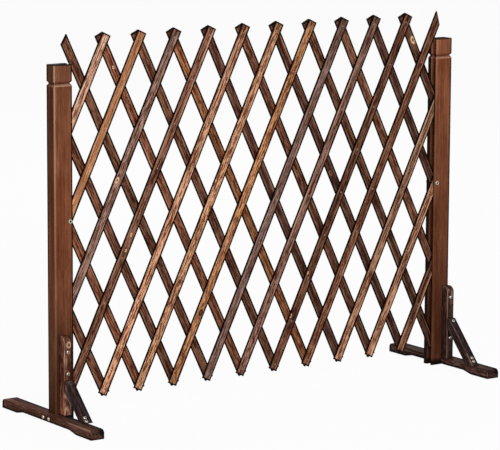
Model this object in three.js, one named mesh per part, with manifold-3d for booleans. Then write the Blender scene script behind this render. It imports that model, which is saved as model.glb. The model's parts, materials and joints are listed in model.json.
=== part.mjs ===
// Expandable wooden trellis: a riveted lattice of crossed slats that folds sideways between two posts on
// feet. Millimetres, +Z up, floor at z = 0, front towards -Y, the posts centred on y = 0 and the lattice on
// x = 0. Slats that lean right are the front layer, slats that lean left the back layer. Both are built along
// their own local Z and then leaned about Y. Everything on the left stand is built at +X and mirrored.
import * as THREE from 'three';
import { mergeVertices } from 'three/addons/utils/BufferGeometryUtils.js';
import Module from 'manifold-3d';

const wasm = await Module();
wasm.setup();

// Lattice
const RIVET_STEP = 100.4;
const REST_LEAN_DEG = 25.6;
const DIAMONDS_ACROSS = 11;
const DIAMONDS_DOWN = 4;
const SLAT_WIDTH = 21;
const SLAT_THICK = 5;
const LAYER_PLAY = 0.3;
const HIGH_TAIL = 18;
const LOW_TAIL = 13;
const LEFT_END_SHORT = 4;
const RIGHT_END_SHORT = -6;
const TIP_ABOVE_FLOOR = 41.4;
const LATTICE_FORWARD = 3;

// Rivets
const RIVET_DIA = 3;
const RIVET_HOLE_PLAY = 0.3;
const RIVET_HEAD_DIA = 6;
const RIVET_HEAD_RISE = 0.7;
const RIVET_SIDES = 8;

// Posts
const POST_WIDTH = 43.5;
const POST_DEPTH = 30;
const POST_LENGTH = 736.5;
const POST_EDGE_BEVEL = 1.6;
const POST_TOP_BEVEL = 1.2;
const GROOVE_BELOW_TOP = 38.5;
const GROOVE_HEIGHT = 10;
const GROOVE_DEPTH = 3.8;
const PIVOT_INSET = 6.8;
const SLOT_SIDE_PLAY = 0.4;
const SLOT_END_PLAY = 1.2;

// Feet
const FOOT_LENGTH = 354;
const FOOT_WIDTH = 32;
const FOOT_HEIGHT = 20;
const FOOT_LAP = 16;
const FOOT_NOSE_ROUND = 8;
const FOOT_EDGE_BEVEL = 0.8;
const ARCH_RISE = 5.5;
const PAD_LENGTH = 58;
const ARCH_RAMP = 26;

// Cleats and braces
const CLEAT_WIDTH = 18;
const CLEAT_DEPTH = 21;
const CLEAT_HEIGHT = 165;
const CLEAT_TOP_ROUND = 15;
const CLEAT_EDGE_BEVEL = 0.8;
const BRACE_THICK = 20;
const BRACE_TOP_CUT = 7;
const BRACE_EDGE_BEVEL = 0.8;

// The stands were put together by hand: on the left one the cleat and the brace sit further in and the
// brace is lower
const LEFT_CLEAT_INSET = 8;
const LEFT_BRACE_PITCH_DEG = 44.5;
const LEFT_BRACE_POINT_HEIGHT = 101;
const RIGHT_CLEAT_INSET = 0;
const RIGHT_BRACE_PITCH_DEG = 47.2;
const RIGHT_BRACE_POINT_HEIGHT = 121;

// Pivot bolts
const BOLT_DIA = 5;
const BOLT_HEAD_DIA = 9;
const BOLT_HEAD_RISE = 2.4;
const BOLT_SIDES = 12;
const NUT_ACROSS = 9;
const NUT_THICK = 4;
const NUT_SIDES = 6;
const BOLT_PAST_NUT = 1.5;

// Screws
const SCREW_DIA = 3.6;
const SCREW_HEAD_DIA = 7;
const SCREW_HEAD_RISE = 1.6;
const SCREW_TIP = 4;
const SCREW_SIDES = 8;
const LEFT_CLEAT_SCREW_LENGTH = 25;
const LEFT_CLEAT_LOW_SCREW_ABOVE_POINT = 6.5;
const LEFT_CLEAT_HIGH_SCREW_DROP = 32.2;
const LEFT_TOE_SCREW_RISES = [6, 14.5];
const LEFT_TOE_SCREW_OUT = 4.5;
const RIGHT_CLEAT_SCREW_LENGTH = 32;
const RIGHT_CLEAT_LOW_SCREW_BELOW_POINT = 52.5;
const RIGHT_CLEAT_HIGH_SCREW_DROP = 24.2;
const RIGHT_TOE_SCREW_RISES = [12.5, 22];
const RIGHT_TOE_SCREW_OUT = 0;
const BRACE_SCREW_LENGTH = 24;
const BRACE_TOP_SCREW_DROP = 16;
const FOOT_SCREW_LENGTH = 42;

// Fits
const SEAT_GAP = 0.2;
const PILOT_PLAY = 0.25;
const OVERRUN = 2;
const HOLE_SIDES = 8;
const ARC_STEPS = 5;

// Colours of the stained wood and of the zinc-plated steel, taken by eye from the photograph
const TONES = {
  amber: '#9a6238',
  tan: '#8a5e40',
  red: '#74452f',
  umber: '#5b3c2c',
  grey: '#5a4841',
  dark: '#47312a',
};
const FRONT_TONES = ['tan', 'amber', 'grey', 'umber', 'tan', 'amber', 'amber',
  'grey', 'grey', 'dark', 'umber', 'tan', 'tan', 'umber'];
const BACK_TONES = ['umber', 'red', 'umber', 'umber', 'red', 'umber', 'red',
  'dark', 'umber', 'dark', 'dark', 'umber', 'dark', 'umber'];
const POST_TONE = '#6e442e';
const FOOT_TONE = '#46312b';
const CLEAT_TONE = '#5a382b';
const BRACE_TONE = '#41302c';
const STEEL_TONE = '#c9c4ba';
const PIVOT_TONE = '#b9b2a6';

// Sizes that follow from the ones above
const LEAN = THREE.MathUtils.degToRad(REST_LEAN_DEG);
const HALF_SLAT = SLAT_WIDTH / 2;
const LEVELS = 2 * DIAMONDS_DOWN;
const COLUMNS = 2 * DIAMONDS_ACROSS;
const MID_LEVEL = DIAMONDS_DOWN;
const LEVEL_DROP = RIVET_STEP * Math.cos(LEAN);
const COLUMN_STEP = RIVET_STEP * Math.sin(LEAN);
const LOW_TIP_DROP = LOW_TAIL * Math.cos(LEAN) + HALF_SLAT * Math.sin(LEAN);
const PIVOT_Z = TIP_ABOVE_FLOOR + LOW_TIP_DROP + MID_LEVEL * LEVEL_DROP;
const PIVOT_X = DIAMONDS_ACROSS * COLUMN_STEP;
const LAYER_INNER_Y = LAYER_PLAY / 2;
const LAYER_OUTER_Y = LAYER_INNER_Y + SLAT_THICK;
const RIVET_REACH_Y = LAYER_OUTER_Y + LAYER_PLAY + RIVET_HEAD_RISE;
const SLOT_HALF = RIVET_REACH_Y + SLOT_SIDE_PLAY;
const SLOT_FRONT_Y = -LATTICE_FORWARD - SLOT_HALF;
const SLOT_BACK_Y = -LATTICE_FORWARD + SLOT_HALF;
const TAIL_REACH = Math.hypot(LOW_TAIL, HALF_SLAT);
const POST_INNER_X = PIVOT_X - PIVOT_INSET;
const POST_OUTER_X = POST_INNER_X + POST_WIDTH;
const POST_MID_X = (POST_INNER_X + POST_OUTER_X) / 2;
const SLOT_END_X = PIVOT_X + TAIL_REACH + SLOT_END_PLAY;
const POST_FRONT_Y = -POST_DEPTH / 2;
const POST_BACK_Y = POST_DEPTH / 2;
const POST_TOP_Z = ARCH_RISE + POST_LENGTH;
const FOOT_INNER_X = POST_OUTER_X - FOOT_LAP;
const FOOT_OUTER_X = FOOT_INNER_X + FOOT_WIDTH;
const CLEAT_BACK_Y = POST_FRONT_Y - SEAT_GAP;
const CLEAT_FRONT_Y = CLEAT_BACK_Y - CLEAT_DEPTH;
const ON_FOOT_Z = FOOT_HEIGHT + SEAT_GAP;
const CLEAT_TOP_Z = ON_FOOT_Z + CLEAT_HEIGHT;
const BRACE_BACK_Y = CLEAT_FRONT_Y - SEAT_GAP;
const CHEEK_MIDS_Y = [(POST_FRONT_Y + SLOT_FRONT_Y) / 2, (SLOT_BACK_Y + POST_BACK_Y) / 2];
const FOOT_SCREW_Z = (ARCH_RISE + FOOT_HEIGHT) / 2;
const STANDS = {
  left: {
    cleatOuterX: POST_OUTER_X - LEFT_CLEAT_INSET,
    pitch: THREE.MathUtils.degToRad(LEFT_BRACE_PITCH_DEG),
    pointZ: LEFT_BRACE_POINT_HEIGHT,
    cleatScrewLength: LEFT_CLEAT_SCREW_LENGTH,
    cleatScrewHeights: [
      LEFT_BRACE_POINT_HEIGHT + LEFT_CLEAT_LOW_SCREW_ABOVE_POINT,
      CLEAT_TOP_Z - LEFT_CLEAT_HIGH_SCREW_DROP,
    ],
    toeScrewRises: LEFT_TOE_SCREW_RISES,
    toeScrewOut: LEFT_TOE_SCREW_OUT,
  },
  right: {
    cleatOuterX: POST_OUTER_X - RIGHT_CLEAT_INSET,
    pitch: THREE.MathUtils.degToRad(RIGHT_BRACE_PITCH_DEG),
    pointZ: RIGHT_BRACE_POINT_HEIGHT,
    cleatScrewLength: RIGHT_CLEAT_SCREW_LENGTH,
    cleatScrewHeights: [
      RIGHT_BRACE_POINT_HEIGHT - RIGHT_CLEAT_LOW_SCREW_BELOW_POINT,
      CLEAT_TOP_Z - RIGHT_CLEAT_HIGH_SCREW_DROP,
    ],
    toeScrewRises: RIGHT_TOE_SCREW_RISES,
    toeScrewOut: RIGHT_TOE_SCREW_OUT,
  },
};

// A three.js geometry as a manifold solid, and a manifold solid as a flat-shaded geometry
function solid(geometry) {
  const bare = geometry.clone();
  bare.deleteAttribute('normal');
  bare.deleteAttribute('uv');
  const merged = mergeVertices(bare);
  return new wasm.Manifold(new wasm.Mesh({
    numProp: 3,
    vertProperties: merged.attributes.position.array,
    triVerts: new Uint32Array(merged.index.array),
  }));
}

function geometryOf(body) {
  const mesh = body.getMesh();
  const geometry = new THREE.BufferGeometry();
  geometry.setAttribute('position', new THREE.BufferAttribute(new Float32Array(mesh.vertProperties), 3));
  geometry.setIndex(new THREE.BufferAttribute(new Uint32Array(mesh.triVerts), 1));
  const flat = geometry.toNonIndexed();
  flat.computeVertexNormals();
  return flat;
}

function box(x0, x1, y0, y1, z0, z1) {
  const geometry = new THREE.BoxGeometry(x1 - x0, y1 - y0, z1 - z0);
  geometry.translate((x0 + x1) / 2, (y0 + y1) / 2, (z0 + z1) / 2);
  return solid(geometry);
}

// An outline in the X-Z plane, given as [x, z] pairs or a Shape, pushed from y0 to y1
function slabXZ(outline, y0, y1) {
  const shape = outline.isShape ? outline : new THREE.Shape(outline.map(([x, z]) => new THREE.Vector2(x, z)));
  const geometry = new THREE.ExtrudeGeometry(shape, { depth: y1 - y0, bevelEnabled: false });
  geometry.rotateX(Math.PI / 2);
  geometry.translate(0, y1, 0);
  return solid(geometry);
}

// A side outline, a Shape in [y, z], pushed along X from x0 to x1 with its long edges bevelled
function slabYZ(shape, x0, x1, bevel) {
  const geometry = new THREE.ExtrudeGeometry(shape, {
    depth: x1 - x0 - 2 * bevel,
    bevelEnabled: true,
    bevelThickness: bevel,
    bevelSize: bevel,
    bevelOffset: -bevel,
    bevelSegments: 1,
    curveSegments: ARC_STEPS,
  });
  // The shape's x and y become Y and Z, and its depth becomes X
  geometry.applyMatrix4(new THREE.Matrix4().set(0, 0, 1, x0 + bevel, 1, 0, 0, 0, 0, 1, 0, 0, 0, 0, 0, 1));
  return solid(geometry);
}

// A revolved profile of [radius, height] pairs, from the lowest to the highest, standing on local Z
function turned(profile, sides) {
  const geometry = new THREE.LatheGeometry(profile.map(([r, h]) => new THREE.Vector2(r, h)), sides);
  geometry.rotateX(Math.PI / 2);
  return solid(geometry);
}

// Turns a body that stands on local Z so that its Z points along the given direction, then places it
function aimed(body, position, direction) {
  const turn = new THREE.Quaternion();
  turn.setFromUnitVectors(new THREE.Vector3(0, 0, 1), direction.clone().normalize());
  const matrix = new THREE.Matrix4().compose(position, turn, new THREE.Vector3(1, 1, 1));
  return body.transform(matrix.elements.slice());
}

const vec = (x, y, z) => new THREE.Vector3(x, y, z);
const BACKWARD = vec(0, 1, 0);
const FORWARD = vec(0, -1, 0);

// Lattice
// Crossing (a, b) of front slat a and back slat b lies at level a - b, counted down from the top, and at
// column a + b.
const columnX = (column) => (column - COLUMNS / 2) * COLUMN_STEP;
const FRONT_FIRST = 1;
const FRONT_LAST = DIAMONDS_ACROSS + DIAMONDS_DOWN - 1;
const BACK_FIRST = 1 - DIAMONDS_DOWN;
const BACK_LAST = DIAMONDS_ACROSS - 1;
const along = (level) => (MID_LEVEL - level) * RIVET_STEP;

// The first and last level that a slat reaches, with the column at which it passes a level
function spanOf(index, isFront) {
  const column = isFront ? (level) => 2 * index - level : (level) => 2 * index + level;
  const reached = [];
  for (let level = 0; level <= LEVELS; level += 1) {
    if (column(level) >= 0 && column(level) <= COLUMNS) reached.push(level);
  }
  return { column, first: reached[0], last: reached[reached.length - 1], reached };
}

function hasPartner(index, isFront, level) {
  const other = isFront ? index - level : index + level;
  return isFront ? other >= BACK_FIRST && other <= BACK_LAST : other >= FRONT_FIRST && other <= FRONT_LAST;
}

function isPostPivot(column, level) {
  return level === MID_LEVEL && (column === 0 || column === COLUMNS);
}

// The slat's face outline. An upper end that stands alone above a post is cut aslant, the others square.
function slatOutline(span, isFront) {
  const atTop = span.first === 0;
  const highEnd = along(span.first) + (atTop ? HIGH_TAIL : LOW_TAIL);
  const lowEnd = along(span.last) - LOW_TAIL;
  const firstColumn = span.column(span.first);
  let left = highEnd;
  let right = highEnd;
  if (atTop && firstColumn === 0 && !isFront) left = along(span.first) + LEFT_END_SHORT;
  if (atTop && firstColumn === COLUMNS && isFront) right = along(span.first) + RIGHT_END_SHORT;
  return [[-HALF_SLAT, lowEnd], [HALF_SLAT, lowEnd], [HALF_SLAT, right], [-HALF_SLAT, left]];
}

// A rivet at a height along the front slat: a low domed head in front, a shank, and a clenched head behind
// the back slat
function rivet(height) {
  const head = RIVET_HEAD_DIA / 2;
  const frontFace = LAYER_OUTER_Y;
  const backFace = -LAYER_OUTER_Y - LAYER_PLAY;
  const profile = [
    [0, backFace - RIVET_HEAD_RISE],
    [head, backFace],
    [RIVET_DIA / 2, backFace],
    [RIVET_DIA / 2, LAYER_INNER_Y + SLAT_THICK / 2],
    [head, LAYER_INNER_Y + SLAT_THICK / 2],
    [head, frontFace],
    [0, frontFace + RIVET_HEAD_RISE],
  ];
  return aimed(turned(profile, RIVET_SIDES), vec(0, 0, height), FORWARD);
}

function crossHole(height, diameter, y0, y1) {
  const radius = diameter / 2;
  const geometry = new THREE.CylinderGeometry(radius, radius, y1 - y0, HOLE_SIDES);
  geometry.translate(0, (y0 + y1) / 2, height);
  return solid(geometry);
}

function slat(index, isFront) {
  const span = spanOf(index, isFront);
  const y0 = isFront ? -LAYER_OUTER_Y : LAYER_INNER_Y;
  const y1 = y0 + SLAT_THICK;
  let body = slabXZ(slatOutline(span, isFront), y0, y1);
  for (const level of span.reached) {
    if (!hasPartner(index, isFront, level)) continue;
    const height = along(level);
    if (isPostPivot(span.column(level), level)) {
      body = body.subtract(crossHole(height, BOLT_DIA + 2 * RIVET_HOLE_PLAY, y0 - OVERRUN, y1 + OVERRUN));
    } else if (isFront) {
      body = body.add(rivet(height));
    } else {
      body = body.subtract(crossHole(height, RIVET_DIA + 2 * RIVET_HOLE_PLAY, y0 - OVERRUN, y1 + OVERRUN));
    }
  }
  return { body, x: columnX(span.column(MID_LEVEL)), lean: isFront ? LEAN : -LEAN };
}

// Posts
// A ring of the post's section with bevelled corners, drawn in by an inset on every side
function postRing(z, inset) {
  const x = POST_WIDTH / 2 - inset;
  const y = POST_DEPTH / 2 - inset;
  const b = POST_EDGE_BEVEL;
  return [[x - b, -y], [x, b - y], [x, y - b], [x - b, y], [b - x, y], [-x, y - b], [-x, b - y], [b - x, -y]]
    .map(([px, py]) => [px, py, z]);
}

// A closed solid through stacked rings of as many points each
function stacked(rings) {
  const count = rings[0].length;
  const points = rings.flat(2);
  const faces = [];
  for (let r = 0; r + 1 < rings.length; r += 1) {
    for (let i = 0; i < count; i += 1) {
      const a = r * count + i;
      const b = r * count + (i + 1) % count;
      faces.push(a, b, b + count, a, b + count, a + count);
    }
  }
  const top = (rings.length - 1) * count;
  for (let i = 1; i + 1 < count; i += 1) {
    faces.push(0, i + 1, i, top, top + i, top + i + 1);
  }
  const geometry = new THREE.BufferGeometry();
  geometry.setAttribute('position', new THREE.Float32BufferAttribute(points, 3));
  geometry.setIndex(faces);
  return solid(geometry);
}

function post() {
  const grooveZ = POST_TOP_Z - GROOVE_BELOW_TOP;
  const blank = stacked([
    postRing(ARCH_RISE, 0),
    postRing(grooveZ - GROOVE_HEIGHT / 2, 0),
    postRing(grooveZ, GROOVE_DEPTH),
    postRing(grooveZ + GROOVE_HEIGHT / 2, 0),
    postRing(POST_TOP_Z - POST_TOP_BEVEL, 0),
    postRing(POST_TOP_Z, POST_TOP_BEVEL),
  ]).translate([POST_MID_X, 0, 0]);
  const underside = ARCH_RISE - OVERRUN;
  const slot = box(POST_INNER_X - OVERRUN, SLOT_END_X, SLOT_FRONT_Y, SLOT_BACK_Y, underside, POST_TOP_Z + OVERRUN);
  const lap = box(FOOT_INNER_X - SEAT_GAP, POST_OUTER_X + OVERRUN, -POST_DEPTH, POST_DEPTH, underside, ON_FOOT_Z);
  return blank.subtract(slot).subtract(lap);
}

// Feet
// The side outline: flat top with round noses, and an arch between two pads underneath
function foot() {
  const half = FOOT_LENGTH / 2;
  const padEnd = half - PAD_LENGTH;
  const archEnd = padEnd - ARCH_RAMP;
  const r = FOOT_NOSE_ROUND;
  const shape = new THREE.Shape();
  shape.moveTo(-half, 0);
  shape.lineTo(-padEnd, 0);
  shape.lineTo(-archEnd, ARCH_RISE);
  shape.lineTo(archEnd, ARCH_RISE);
  shape.lineTo(padEnd, 0);
  shape.lineTo(half, 0);
  shape.lineTo(half, FOOT_HEIGHT - r);
  shape.absarc(half - r, FOOT_HEIGHT - r, r, 0, Math.PI / 2, false);
  shape.lineTo(r - half, FOOT_HEIGHT);
  shape.absarc(r - half, FOOT_HEIGHT - r, r, Math.PI / 2, Math.PI, false);
  shape.closePath();
  return slabYZ(shape, FOOT_INNER_X, FOOT_OUTER_X, FOOT_EDGE_BEVEL);
}

// Cleats and braces
function cleat(side) {
  const r = CLEAT_TOP_ROUND;
  const top = CLEAT_TOP_Z;
  const shape = new THREE.Shape();
  shape.moveTo(CLEAT_FRONT_Y, ON_FOOT_Z);
  shape.lineTo(CLEAT_BACK_Y, ON_FOOT_Z);
  shape.lineTo(CLEAT_BACK_Y, top);
  shape.lineTo(CLEAT_FRONT_Y + r, top);
  shape.absarc(CLEAT_FRONT_Y + r, top - r, r, Math.PI / 2, Math.PI, false);
  shape.closePath();
  return slabYZ(shape, side.cleatOuterX - CLEAT_WIDTH, side.cleatOuterX, CLEAT_EDGE_BEVEL);
}

// The brace's upper face runs from the point where it would meet the cleat down to the foot. The point is
// cut off level.
function brace(side) {
  const forward = (z) => (z - ON_FOOT_Z) / Math.tan(side.pitch);
  const low = side.pointZ - BRACE_THICK / Math.cos(side.pitch);
  const cut = side.pointZ - BRACE_TOP_CUT;
  const shape = new THREE.Shape();
  shape.moveTo(BRACE_BACK_Y, cut);
  shape.lineTo(BRACE_BACK_Y - BRACE_TOP_CUT / Math.tan(side.pitch), cut);
  shape.lineTo(BRACE_BACK_Y - forward(side.pointZ), ON_FOOT_Z);
  shape.lineTo(BRACE_BACK_Y - forward(low), ON_FOOT_Z);
  shape.lineTo(BRACE_BACK_Y, low);
  shape.closePath();
  return slabYZ(shape, side.cleatOuterX - CLEAT_WIDTH, side.cleatOuterX, BRACE_EDGE_BEVEL);
}

// Fasteners
// A pan-head screw whose head rests on local z = 0 and whose shank runs down local Z
function screw(length) {
  const head = SCREW_HEAD_DIA / 2;
  const shank = SCREW_DIA / 2;
  return turned([
    [0, -length],
    [shank, SCREW_TIP - length],
    [shank, SEAT_GAP],
    [head, SEAT_GAP],
    [head, SEAT_GAP + SCREW_HEAD_RISE / 2],
    [head / 2, SEAT_GAP + SCREW_HEAD_RISE],
    [0, SEAT_GAP + SCREW_HEAD_RISE],
  ], SCREW_SIDES);
}

// The hole that a screw of this length needs, open at the head
function screwHole(length) {
  const radius = SCREW_DIA / 2 + PILOT_PLAY;
  return turned([
    [0, -length - PILOT_PLAY],
    [radius, SCREW_TIP - length - PILOT_PLAY],
    [radius, OVERRUN],
    [0, OVERRUN],
  ], SCREW_SIDES);
}

function pivotBolt() {
  const head = BOLT_HEAD_DIA / 2;
  const shank = BOLT_DIA / 2;
  const tail = -POST_DEPTH - SEAT_GAP - NUT_THICK - BOLT_PAST_NUT;
  return turned([
    [0, tail],
    [shank, tail],
    [shank, SEAT_GAP],
    [head, SEAT_GAP],
    [head, SEAT_GAP + BOLT_HEAD_RISE / 2],
    [head / 2, SEAT_GAP + BOLT_HEAD_RISE],
    [0, SEAT_GAP + BOLT_HEAD_RISE],
  ], BOLT_SIDES);
}

function pivotNut() {
  const radius = NUT_ACROSS / 2 / Math.cos(Math.PI / NUT_SIDES);
  const blank = turned([[0, 0], [radius, 0], [radius, NUT_THICK], [0, NUT_THICK]], NUT_SIDES);
  const bore = BOLT_DIA / 2 + PILOT_PLAY;
  const past = NUT_THICK + OVERRUN;
  const hole = turned([[0, -OVERRUN], [bore, -OVERRUN], [bore, past], [0, past]], BOLT_SIDES);
  return blank.subtract(hole);
}

function boltHole(x) {
  const radius = BOLT_DIA / 2 + PILOT_PLAY;
  const geometry = new THREE.CylinderGeometry(radius, radius, POST_DEPTH + 2 * OVERRUN, BOLT_SIDES);
  geometry.translate(x, 0, PIVOT_Z);
  return solid(geometry);
}

// Where each screw of a stand goes, which way its head faces and which pieces it passes through
function screwPlaces(side) {
  const places = [];
  const cleatMidX = side.cleatOuterX - CLEAT_WIDTH / 2;
  side.cleatScrewHeights.forEach((z, i) => places.push({
    name: `cleat_screw_${i + 1}`,
    at: vec(cleatMidX, CLEAT_FRONT_Y, z),
    out: FORWARD,
    length: side.cleatScrewLength,
    through: ['cleat', 'post'],
  }));
  const slope = vec(0, -Math.sin(side.pitch), Math.cos(side.pitch));
  const onBrace = (x, z) => vec(x, BRACE_BACK_Y - (side.pointZ - z) / Math.tan(side.pitch), z);
  const bracePlaces = side.toeScrewRises.map((rise) => onBrace(cleatMidX + side.toeScrewOut,
    ON_FOOT_Z + rise * Math.sin(side.pitch)));
  bracePlaces.push(onBrace(cleatMidX, side.pointZ - BRACE_TOP_SCREW_DROP * Math.sin(side.pitch)));
  bracePlaces.forEach((at, i) => places.push({
    name: `brace_screw_${i + 1}`,
    at,
    out: slope,
    length: BRACE_SCREW_LENGTH,
    through: ['brace', 'cleat', 'foot'],
  }));
  CHEEK_MIDS_Y.forEach((y, i) => places.push({
    name: `foot_screw_${i + 1}`,
    at: vec(FOOT_OUTER_X, y, FOOT_SCREW_Z),
    out: vec(1, 0, 0),
    length: FOOT_SCREW_LENGTH,
    through: ['foot', 'post'],
  }));
  return places;
}

function stand(side) {
  const pieces = { post: post(), foot: foot(), cleat: cleat(side), brace: brace(side) };
  pieces.post = pieces.post.subtract(boltHole(PIVOT_X));
  for (const place of screwPlaces(side)) {
    const hole = aimed(screwHole(place.length), place.at, place.out);
    for (const name of place.through) pieces[name] = pieces[name].subtract(hole);
    pieces[place.name] = aimed(screw(place.length), place.at, place.out);
  }
  pieces.pivot_bolt = aimed(pivotBolt(), vec(PIVOT_X, POST_FRONT_Y, PIVOT_Z), FORWARD);
  pieces.pivot_nut = aimed(pivotNut(), vec(PIVOT_X, POST_BACK_Y + SEAT_GAP, PIVOT_Z), BACKWARD);
  return pieces;
}

// Materials
const wood = (colour) => new THREE.MeshStandardMaterial({ color: colour, roughness: 0.62, metalness: 0 });
const steel = (colour) => new THREE.MeshStandardMaterial({ color: colour, roughness: 0.35, metalness: 0.9 });
const STAND_TONES = { post: POST_TONE, foot: FOOT_TONE, cleat: CLEAT_TONE, brace: BRACE_TONE };

function materialOf(name) {
  if (STAND_TONES[name]) return wood(STAND_TONES[name]);
  return steel(name.startsWith('pivot') ? PIVOT_TONE : STEEL_TONE);
}

// Assembly
const trellis = new THREE.Group();
trellis.name = 'expandable_trellis';

function place(name, body, material) {
  const mesh = new THREE.Mesh(geometryOf(body), material);
  mesh.name = name;
  trellis.add(mesh);
  return mesh;
}

function addSlats(first, last, isFront, tones) {
  for (let index = first; index <= last; index += 1) {
    const { body, x, lean } = slat(index, isFront);
    const number = index - first + 1;
    const name = `${isFront ? 'front' : 'back'}_slat_${String(number).padStart(2, '0')}`;
    const mesh = place(name, body, wood(TONES[tones[(number - 1) % tones.length]]));
    mesh.position.set(x, -LATTICE_FORWARD, PIVOT_Z);
    mesh.rotation.y = lean;
  }
}

addSlats(FRONT_FIRST, FRONT_LAST, true, FRONT_TONES);
addSlats(BACK_FIRST, BACK_LAST, false, BACK_TONES);

for (const [name, body] of Object.entries(stand(STANDS.right))) {
  place(`right_${name}`, body, materialOf(name));
}
for (const [name, body] of Object.entries(stand(STANDS.left))) {
  place(`left_${name}`, body.mirror([1, 0, 0]), materialOf(name));
}

export default trellis;
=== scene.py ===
"""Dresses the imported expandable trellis: laths, rivets, posts, feet, cleats, braces, screws and bolts."""
import json
import math

import bpy
import numpy as np
from bpy.props import FloatProperty, FloatVectorProperty, IntProperty, PointerProperty
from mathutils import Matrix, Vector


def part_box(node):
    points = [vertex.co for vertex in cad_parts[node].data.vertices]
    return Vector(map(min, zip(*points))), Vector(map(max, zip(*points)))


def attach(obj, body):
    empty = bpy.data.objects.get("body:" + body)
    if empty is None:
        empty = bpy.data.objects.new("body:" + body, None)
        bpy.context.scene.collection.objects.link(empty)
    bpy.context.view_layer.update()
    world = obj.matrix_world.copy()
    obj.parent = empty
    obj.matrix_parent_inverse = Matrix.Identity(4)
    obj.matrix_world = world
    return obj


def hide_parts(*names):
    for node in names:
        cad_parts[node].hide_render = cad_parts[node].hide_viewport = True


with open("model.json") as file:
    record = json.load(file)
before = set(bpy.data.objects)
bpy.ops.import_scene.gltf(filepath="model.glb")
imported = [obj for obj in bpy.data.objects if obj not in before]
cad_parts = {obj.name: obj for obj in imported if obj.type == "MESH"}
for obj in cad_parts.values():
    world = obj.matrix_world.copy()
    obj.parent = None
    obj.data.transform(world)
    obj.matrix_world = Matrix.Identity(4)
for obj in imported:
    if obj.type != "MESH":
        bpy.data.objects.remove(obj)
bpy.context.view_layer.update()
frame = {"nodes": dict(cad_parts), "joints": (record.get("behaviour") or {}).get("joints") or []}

bl_info = {
    "name": "Expandable Trellis",
    "version": (1, 0, 0),
    "blender": (4, 5, 0),
    "location": "View3D > Sidebar > Trellis",
    "description": "Stained laths, rivets, slotted posts and braced feet on the frame of a folding trellis",
    "category": "Add Mesh",
}

MM = 0.001

# The lattice as the frame has it. Crossing (a, b) of front lath a and back lath b lies at level a - b,
# counted down from the top, and at column a + b, counted from the left post. A front lath's number is its a,
# and a back lath's is its b plus the back offset. The joint rivet_back_06 lies on level 0, and rivet_back_01
# seven levels lower.
JOINTS = {joint["name"]: joint for joint in frame["joints"]}
LEFT_PIVOT = np.array(JOINTS["lattice_fold"]["pos_m"])
RIGHT_PIVOT = np.array(JOINTS["right_stand_pivot"]["pos_m"])
COLUMNS, LEVELS, MID_LEVEL = 22, 8, 4
LEVELS_BETWEEN = 7
COLUMN_STEP = (RIGHT_PIVOT[0] - LEFT_PIVOT[0]) / COLUMNS
LEVEL_STEP = (JOINTS["rivet_back_06"]["pos_m"][2] - JOINTS["rivet_back_01"]["pos_m"][2]) / LEVELS_BETWEEN
LEAN = math.atan2(COLUMN_STEP, LEVEL_STEP)
RIVET_STEP = math.hypot(COLUMN_STEP, LEVEL_STEP)
LATTICE_Y = LEFT_PIVOT[1]
PIVOT_Z = LEFT_PIVOT[2]
FRONT_COUNT = 14
BACK_OFFSET = 4

# Lath ends, as in the CAD
LATH_WIDTH, LATH_THICK, LAYER_PLAY = 21 * MM, 5 * MM, 0.3 * MM
HIGH_TAIL, LOW_TAIL = 18 * MM, 13 * MM
LEFT_END_SHORT, RIGHT_END_SHORT = 4 * MM, -6 * MM
# Feet and fits, as in the CAD
PAD_LENGTH, ARCH_RAMP, ARCH_RISE = 58 * MM, 26 * MM, 5.5 * MM
SEAT_GAP, CAD_HEAD_RISE = 0.2 * MM, 1.6 * MM
SCREW_SHANK, BOLT_SHANK, NUT_HALF = 1.8 * MM, 2.5 * MM, 4.5 * MM
# How finely round things are drawn, and the share of a foot's half section that an arris takes
RIVET_SIDES, BOLT_SIDES, NUT_STEPS, ARC_SHARE = 10, 32, 36, 0.08

# How a lath is marked: the dark of a cut end is strong up to the first length and gone at the second, the
# narrow faces are darkened by half, partly burnt and partly painted shade, and the left front arris was
# brushed almost clean
TIP_DARK, TIP_FADED = 2.3 * MM, 4.2 * MM
FLANK_MARK, LEFT_ARRIS_MARK = 0.45, 0.28
# How much darker the flame left the upper tips, and how far down
TIP_FLAME, TIP_FLAME_REACH = 0.4, 15 * MM
LATH_RING_STEP = 9 * MM
# How a lath's sides wander: share, length of the wave over two pi, and how fast it shifts from lath to lath
WANDER = [(0.3, 61 * MM, 1), (0.2, 23 * MM, 3)]
# Where the pale line beside each dark rim of a lath lies, from its own edge, and how wide it is
PALE_LINE, PALE_LINE_WIDTH = {-1: 2.4 * MM, 1: 5.2 * MM}, 1.3 * MM

# Stain of each lath: the tone, then how light it is at its top, middle and bottom
FRONT_STAIN = [
    ("rose", 0.9, 1.0, 1.0), ("honey", 0.95, 1.0, 1.05), ("fawn", 0.7, 0.95, 0.8),
    ("walnut", 0.7, 0.62, 0.65), ("sand", 0.7, 1.0, 1.3), ("gold", 0.72, 0.9, 0.85),
    ("amber", 0.7, 0.95, 0.85), ("mauve", 0.8, 0.9, 0.9), ("smoke", 0.75, 0.9, 1.25),
    ("umber", 0.75, 0.65, 0.85), ("umber", 0.85, 1.0, 1.5), ("sand", 0.3, 0.55, 1.0),
    ("sand", 0.8, 0.65, 1.0), ("umber", 0.7, 0.8, 1.4),
]
BACK_STAIN = [
    ("umber", 0.9, 0.9, 0.9), ("russet", 1.05, 0.85, 1.0), ("umber", 1.1, 0.8, 0.6),
    ("umber", 0.95, 0.65, 0.75), ("russet", 0.95, 0.8, 0.7), ("umber", 1.05, 0.65, 0.65),
    ("rust", 0.9, 0.7, 0.75), ("char", 1.3, 0.75, 0.75), ("umber", 1.05, 0.75, 0.5),
    ("char", 0.95, 0.75, 0.5), ("umber", 0.8, 0.5, 0.35), ("umber", 1.0, 1.05, 0.85),
    ("char", 0.8, 0.65, 0.7), ("umber", 0.8, 0.55, 0.4),
]
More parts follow.
